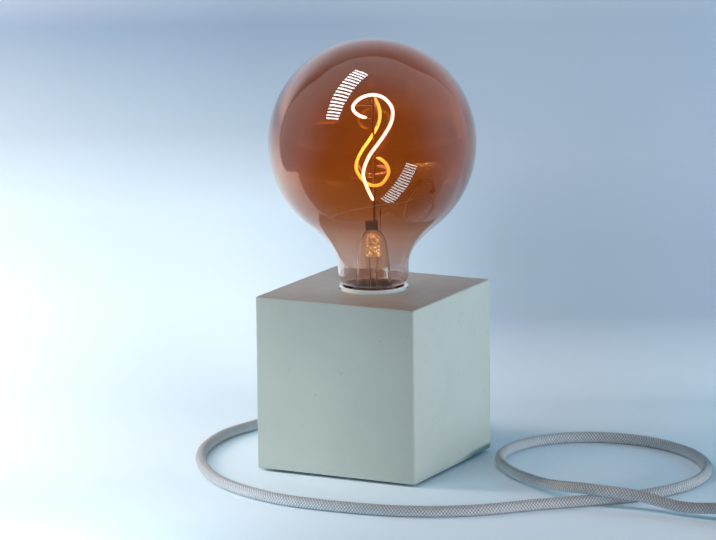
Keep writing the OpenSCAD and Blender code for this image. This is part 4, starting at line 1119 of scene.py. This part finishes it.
SWITCH_CORNER = 9 * MM
SWITCH_WALL = 1.8 * MM
ROCKER_L = 26 * MM
ROCKER_W = 14.6 * MM
ROCKER_TILT = math.radians(7)
PORT_R = 3.35 * MM
PIVOT_Z = 14.5 * MM
PIVOT_R = 1.5 * MM
# In millimetres
BOSS_X, BOSS_Y = 21.5, 8.4
DOT_PROFILE = [(0, 4.45), (1.5, 4.45), (1.7, 4.3), (1.7, 3.4), (0, 3.4)]


def make_switch():
    """Two shells with a soft outer edge, and room for the rocker between them."""
    length, width = base_hi[0] - base_lo[0], base_hi[1] - base_lo[1]
    split, top = base_hi[2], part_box("switch_cover")[1].z
    edge, low_edge = 3.2 * MM, 1.2 * MM

    def ring(inset, z):
        return rounded_ring(length - 2 * inset, width - 2 * inset, SWITCH_CORNER - inset, z, 72)

    def window(grow, z):
        return rounded_ring(ROCKER_L + 1.8 * MM + 2 * grow, ROCKER_W + 0.6 * MM + 2 * grow,
                            0.6 * MM + grow, z, 72)

    def shell(name, rings, loop, sinks, node):
        placed = [[p + Vector((SWITCH_X, SWITCH_Y, 0)) for p in ring] for ring in rings]
        piece = loft(name, placed, "switch_black", loop)
        ports = [rod_cutter(PORT_R, in_switch(a, 0, ENTRY_Z / MM), in_switch(a + 15, 0, ENTRY_Z / MM), 48)
                 for a in (-40, 25)]
        return stands_for(crease(cut_away(piece, ports + sinks), 40), node)

    rings = [ring(0.3 * MM, split), ring(0, split + 0.3 * MM), ring(0, top - edge)]
    for k in range(1, 7):
        a = math.pi / 2 * k / 6
        rings.append(ring(edge * (1 - math.cos(a)), top - edge + edge * math.sin(a)))
    inner = top - SWITCH_WALL
    rings += [window(1.4 * MM, top), window(0.5 * MM, top - 0.05 * MM), window(0, top - 0.5 * MM),
              window(0, inner), window(0.6 * MM, inner), ring(SWITCH_WALL + 1.4 * MM, inner),
              ring(SWITCH_WALL, inner - 1.4 * MM), ring(SWITCH_WALL, split)]
    cover = shell("switch_upper_shell", rings, True, [], "switch_cover")
    rings = []
    for k in range(5):
        a = math.pi / 2 * k / 4
        rings.append(ring(low_edge * (1 - math.sin(a)), low_edge * (1 - math.cos(a))))
    rings += [ring(0, split - 0.3 * MM), ring(0.3 * MM, split), ring(SWITCH_WALL, split),
              ring(SWITCH_WALL, SWITCH_WALL), ring(SWITCH_WALL + 2 * MM, SWITCH_WALL)]
    sinks = [rod_cutter(3 * MM, in_switch(x, y, -1), in_switch(x, y, 2.5), 48)
             for x, y in ((-BOSS_X, BOSS_Y), (BOSS_X, -BOSS_Y))]
    return cover, shell("switch_lower_shell", rings, False, sinks, "switch_base")


def make_rocker():
    """Rocker with a dished top and soft edges, on its pin."""
    outline = [(-13, 5.0), (-13, 1.8), (-7.2, -3), (7.2, -3), (13, 1.8), (13, 5.0)]
    outline += [(x, 3.55 + 1.6 * (abs(x) / 13) ** 1.7) for x in (13 - 26 * k / 20 for k in range(1, 20))]
    half = ROCKER_W / 2
    rings = []
    for y, inset in ((-half, 0.5), (-half + 0.18 * MM, 0.15), (-half + 0.5 * MM, 0), (half - 0.5 * MM, 0),
                     (half - 0.18 * MM, 0.15), (half, 0.5)):
        rings.append([Vector((x * (1 - inset / 13) * MM, y, (z - (inset if z > 3 else -inset)) * MM))
                      for x, z in outline])
    body = loft("switch_rocker_cap", rings, "rocker_black", body="rocker")
    pin = tube("pin", [Vector((0, y * MM, 0)) for y in (-9.6, 9.6)], PIVOT_R, "rocker_black", 32,
               body="rocker")
    dot = lathe("dot", [(r * MM, z * MM) for r, z in DOT_PROFILE], "rocker_black", 32,
                Matrix.Translation((7.5 * MM, 0, 0)), "rocker")
    whole = join("switch_rocker_cap", [body, pin, dot])
    place = Matrix.Translation((SWITCH_X, SWITCH_Y, PIVOT_Z)) @ Matrix.Rotation(ROCKER_TILT, 4, "Y")
    whole.data.transform(place)
    return stands_for(crease(whole, 35), "switch_rocker")


PLUG_SIDE = [(0, 16.15), (0.4, 17.0), (1.5, 17.65), (9, 17.65), (13, 16.6), (19, 12.9), (25, 9), (30, 7.9),
             (36, 7.2)]


def make_plug():
    """Flat plug body, soft at all its edges, with its pins and sleeves."""
    rings = []
    middle = Vector((plug_lo[0], COIL_Y + COIL_OUT_R, PLUG_Z))
    thick = plug_hi[2] - plug_lo[2]
    for p in smooth_path([(x, 0, y) for x, y in PLUG_SIDE], 3):
        x, half_w = p.x * MM, p.z * MM
        soft = min(x / (1.5 * MM), 1)
        t = thick * (1 - 0.12 * (1 - soft) ** 2)
        section = rounded_ring(2 * half_w, t, min(2.6 * MM, half_w - 0.1 * MM), 0, 48)
        rings.append([middle + Vector((x, q.x, q.y)) for q in section])
    plug = stands_for(crease(loft("plug_shell", rings, "plug_black"), 45), "plug_body")
    r, tip = 2 * MM, 1.2 * MM
    sleeve_end, pin_end, inside = 10 * MM, 19 * MM, 11 * MM
    profile = [(0, -inside), (r, -inside), (r, 0), (1.43 * MM, 0), (1.43 * MM, sleeve_end), (r, sleeve_end),
               (r, pin_end - tip)] + arc_points(r - tip, pin_end - tip, tip, 0, 90, 6) + [(0, pin_end)]
    pins = [lathe("pin", profile, "cap_nickel", 32,
                  along_axis((plug_lo[0], COIL_Y + COIL_OUT_R + s * 9.3 * MM, PLUG_Z), (-1, 0, 0)))
            for s in (-1, 1)]
    return plug, stands_for(crease(join("plug_contact_pins", pins), 35), "plug_pins")


def make_tie():
    """Strap round the coil's two strands, with a soft edge and a lapped end."""
    tall = CORD_D + COIL_LAYER + 0.3 * MM
    wide = CORD_D + 2 * MM
    t, w = 0.8 * MM, 10 * MM
    rings = []
    for y, inset in ((-w / 2, 0.3), (-w / 2 + 0.3 * MM, 0), (w / 2 - 0.3 * MM, 0), (w / 2, 0.3)):
        rings.append(rounded_ring(wide + 2 * t - inset * MM, tall + 2 * t - inset * MM, 3.4 * MM, y, 48))
    for y, inset in ((w / 2, 0.2), (-w / 2, 0.2)):
        rings.append(rounded_ring(wide + inset * MM, tall + inset * MM, 2.6 * MM, y, 48))
    turn = Matrix.Translation((COIL_X, COIL_Y, 0)) @ Matrix.Rotation(math.radians(TIE_TURN), 4, "Z")
    radius = COIL_IN_R + COIL_STEP / 2
    placed = [[turn @ Vector((radius + p.x, -p.z, t + tall / 2 + p.y)) for p in ring] for ring in rings]
    tie = crease(loft("cord_tie", placed, "tie_black", loop=True), 40)
    return stands_for(tie, "coil_tie")


# Studio: floor and backdrop, light and surroundings

# Paper with painted shade: its tone by height above the floor, in metres, at the left and at the right; the
# board darkens upwards, and more at the right where a painted shadow lies
PAPER_SHADE_LEFT = [(0.0, (0.75, 0.91, 1.0)), (0.05, (0.77, 0.93, 1.0)), (0.11, (0.68, 0.82, 0.92)),
              (0.16, (0.44, 0.55, 0.64)), (0.23, (0.27, 0.37, 0.49)), (0.31, (0.62, 0.70, 0.80))]
PAPER_SHADE_RIGHT = [(0.0, (0.76, 0.90, 0.97)), (0.04, (0.39, 0.50, 0.60)), (0.08, (0.38, 0.48, 0.57)),
               (0.14, (0.42, 0.51, 0.60)), (0.23, (0.39, 0.50, 0.60)), (0.31, (0.62, 0.70, 0.80))]
PAPER_FRONT = 0.30
PAPER_FLAT = 0.15
SWEEP_R = 0.10
BOARD_TOP = 0.75
BOARD_LEFT, BOARD_RIGHT = 0.50, 0.36
FLOOR_R = 6.0


def stage_finish(right):
    """Paper with painted shade and shadow, graded by height and side, that is clear from behind."""
    finish, t, shader = new_finish("studio_paper")
    where = t.place()
    height = t.add("SeparateXYZ", Vector=where)[2]
    side = t.remap(t.dot(where, right), -0.10, 0.11, kind="SMOOTHSTEP")
    # Painted shade and shadow: the tone darkens up the board and towards the right
    shaded_tone = t.blend(side, t.steps(height, PAPER_SHADE_LEFT), t.steps(height, PAPER_SHADE_RIGHT))
    tone = t.use(MOTTLE, Colour=shaded_tone, Second_colour=shaded_tone, Cloud_scale=3.0, Fine_scale=300.0, Amount=0.5)
    t.fill(shader, Base_Color=tone["Colour"], Roughness=0.6, Specular_IOR_Level=0.3)
    t.let_through(t.add("NewGeometry")["Backfacing"], shader)
    return finish


def make_stage(right, back):
    """A pale floor that sweeps up into a board behind the lamp."""
    away = Vector((-back.x, -back.y, 0)).normalized()
    floor_z = -0.05 * MM
    paper = stage_finish(right)

    def sheet(name, rings, loop=False, glossy=False):
        piece = new_object(name, [p for ring in rings for p in ring],
                           ring_faces(len(rings[0]), len(rings), close_ring=loop), paper, body=None)
        if piece.data.polygons[0].normal.z < 0:
            piece.data.flip_normals()
        piece.visible_glossy = glossy
        return piece

    def strips(line):
        return [[right * s + away * d + AXIS_Z * (floor_z + h) for d, h in line]
                for s in (-BOARD_LEFT, 0, BOARD_RIGHT)]

    line = [(0, 0)] + [(PAPER_FLAT + SWEEP_R * math.sin(a), SWEEP_R * (1 - math.cos(a)))
                       for a in (math.pi / 2 * k / 24 for k in range(25))]
    line += [(PAPER_FLAT + SWEEP_R, 0.4), (PAPER_FLAT + SWEEP_R, BOARD_TOP)]
    return (sheet("studio_sweep", strips(line), glossy=True),
            sheet("studio_floor", [flat_ring(r, 64, floor_z - 0.5 * MM) for r in (0.01, FLOOR_R)], True),
            sheet("studio_front", strips([(-PAPER_FRONT, 0), (0, 0)])))


# Louvred lights that only show as reflections in the globe. For each: where the reflection sits, across
# and up in globe radii, its narrow direction, its length and width in degrees, and its brightness
LOUVRES = {
    "louvre_above": ((-0.27, 0.45), (-0.75, 0.66), 58, 16, 15.0, (0.92, 1.0, 1.04)),
    "louvre_below": ((0.27, -0.40), (0.76, -0.65), 46, 14, 6.0, (0.72, 1.0, 1.12)),
}
SLAT_DISTANCE = 1.6
SLAT_COUNT = 17
SLAT_SHARE = 0.5


def make_louvre(name, right, back):
    """A long louvred light that only shows as a reflection in the globe."""
    (across, rise), narrow, length, width, glow, colour = LOUVRES[name]
    up = back.cross(right)
    facing = right * across + up * rise + back * math.sqrt(1 - across ** 2 - rise ** 2)
    direction = (facing * (2 * facing.dot(back)) - back).normalized()
    centre = Vector((0, 0, GLOBE_Z)) + direction * SLAT_DISTANCE
    radial = (right * narrow[0] + up * narrow[1]).normalized()
    long_axis = direction.cross(radial).normalized()
    short_axis = direction.cross(long_axis).normalized()
    length = 2 * SLAT_DISTANCE * math.tan(math.radians(length) / 2)
    width = 2 * SLAT_DISTANCE * math.tan(math.radians(width) / 2)
    verts, faces = [], []
    for k in range(SLAT_COUNT):
        a = -length / 2 + length * k / SLAT_COUNT
        b = a + length / SLAT_COUNT * SLAT_SHARE
        for s, w in ((a, -1), (b, -1), (b, 1), (a, 1)):
            verts.append(centre + long_axis * s + short_axis * w * width / 2)
        faces.append(tuple(range(4 * k, 4 * k + 4)))
    light, t, shader = new_finish(f"{name}_glow")
    outside = t.maths("LESS_THAN", t.add("LightPath")["Transmission Depth"], 0.5)
    t.fill(shader, Base_Color=rgba(0, 0, 0), Emission_Color=rgba(*colour),
           Emission_Strength=t.times(glow, outside))
    slats = new_object(f"studio_{name}", verts, faces, light, False, body=None)
    slats.visible_camera = False
    slats.visible_diffuse = False
    slats.visible_shadow = False


# What mirrors in gloss: how bright the room is, from the side away from the front to the front
ROOM_LEVELS = [(0.0, (0.60, 0.68, 0.78)), (0.56, (0.41, 0.53, 0.65)), (0.80, (0.11, 0.13, 0.15)),
               (0.90, (0.02, 0.022, 0.025)), (1.0, (0.01, 0.01, 0.012))]


def make_surroundings(back):
    """A pale room that is dark on its front side; it only mirrors in gloss."""
    world = bpy.data.worlds.new("studio")
    bpy.context.scene.world = world
    world.use_nodes = True
    tree = world.node_tree
    t = Nodes(tree)
    path = t.add("LightPath")
    way = t.add("TexCoord")["Generated"]
    sunk = t.times(t.maths("MINIMUM", t.add("SeparateXYZ", Vector=way)[2], 0.0), -0.9)
    room = t.steps(t.remap(t.plus(t.dot(way, back), sunk), -1.0, 1.0), ROOM_LEVELS)
    seen = t.blend(path["Is Camera Ray"], rgba(0, 0, 0), rgba(0.56, 0.65, 0.75))
    t.fill(tree.nodes["Background"], Color=t.blend(path["Is Glossy Ray"], seen, room))


# Lights: how far to the picture's right, towards the camera and up, the size, the power in each colour,
# and the spread of the beam in degrees
LIGHTS = {
    "key": ((-0.52, -0.08, 0.26), (0, 0, 0.05), (0.16, 0.16), (1.8, 1.35, 1.1), 180),
    "low_pool": ((-0.30, 0.48, 0.07), (-0.07, 0.05, 0.01), (0.05, 0.05), (0.022, 0.022, 0.022), 30),
    "near_key": ((-0.24, 0.24, 0.05), (-0.04, 0, 0.02), (0.12, 0.06), (0.15, 0.2, 0.23), 180),
    "right_fill": ((0.62, 0.43, 0.06), (0.05, 0, 0.06), (0.3, 0.1), (3.4, 3.2, 3.3), 180),
    "cool_fill": ((0.50, -0.05, 0.20), (0.05, 0, 0.06), (0.2, 0.2), (0.1, 0.34, 0.45), 180),
}
# The strips' own light, from the globe's middle
GLOW_POWER = 0.14
GLOW_COLOUR = (1.0, 0.85, 0.75)
GLOW_R = 0.015
BOUNCES = 32
# Lights that only reach the floor and the board
STAGE_LIGHTS = {
    "floor_left": ((-0.25, 0.25, 0.50), (-0.22, 0.12, 0), (0.3, 0.3), (0.7, 0.75, 0.8), 180),
    "floor_right": ((0.25, 0.40, 0.50), (0.2, 0.25, 0), (0.3, 0.3), (0.5, 0.5, 0.6), 180),
    "board_left": ((-0.35, 0.0, 0.35), (-0.2, -0.25, 0.12), (0.15, 0.15), (0.4, 0.45, 0.5), 180),
}


def new_light(kind, name, place, power, colour):
    """A light that doesn't show itself."""
    data = bpy.data.lights.new(name, kind)
    data.energy = power
    data.color = colour
    light = put_in_scene(name, data)
    light.location = place
    light.visible_camera = light.visible_glossy = light.visible_transmission = False
    return light


def make_lights(right, back, sheets):
    toward = Vector((back.x, back.y, 0)).normalized()

    def spot(p):
        return right * p[0] + toward * p[1] + AXIS_Z * p[2]

    stage = bpy.data.collections.new("stage_sheets")
    for sheet in sheets:
        stage.objects.link(sheet)
    for name, (place, aim, size, power, spread) in (LIGHTS | STAGE_LIGHTS).items():
        light = new_light("AREA", name, spot(place), max(power), [p / max(power) for p in power])
        light.rotation_euler = (spot(aim) - spot(place)).to_track_quat("-Z", "Y").to_euler()
        light.data.shape = "RECTANGLE"
        light.data.size, light.data.size_y = size
        light.data.spread = math.radians(spread)
        if name in STAGE_LIGHTS:
            light.light_linking.receiver_collection = stage
    glow = new_light("POINT", "strip_glow", (0, 0, GLOBE_Z), GLOW_POWER, GLOW_COLOUR)
    glow.data.shadow_soft_size = GLOW_R
    glow.parent = frame["bodies"]["bulb"]
    scene = bpy.context.scene
    scene.view_settings.view_transform = "Standard"
    for bounces in ("max_bounces", "transmission_bounces", "transparent_max_bounces"):
        setattr(scene.cycles, bounces, BOUNCES)


def dress_frame():
    """Gives every node that stays its own finish."""
    for row in frame["record"]["subparts"]:
        stays = nodes[row["node"]]
        stays.data.materials.clear()
        stays.data.materials.append(FINISHES[row["material_slot"]])


def declare_cords():
    on_first = [lamp_relief, inner_cord, cover, base, rocker, "switch_cord_stubs", "switch_wires"]
    on_first += [nodes[name] for name in ("rocker_contact", "switch_screws", "switch_terminals")]


right, back = make_camera()
(front_cord, front_path), (rear_cord, rear_path) = make_cords()
inner_cord = make_inner_cord()
make_cube()
make_skirt()
make_threads()
make_glass()
make_stem()
make_strip("front_strip", FRONT_ROUTE, "filament_white", "filament_front")
make_strip("rear_strip", REAR_ROUTE, "filament_amber", "filament_rear")
make_wires()
make_post()
lamp_relief, plug_relief = make_reliefs()
cover, base = make_switch()
rocker = make_rocker()
plug, pins = make_plug()
tie = make_tie()
sheets = make_stage(right, back)
for louvre in LOUVRES:
    make_louvre(louvre, right, back)
make_surroundings(back)
make_lights(right, back, sheets)
dress_frame()
declare_cords()
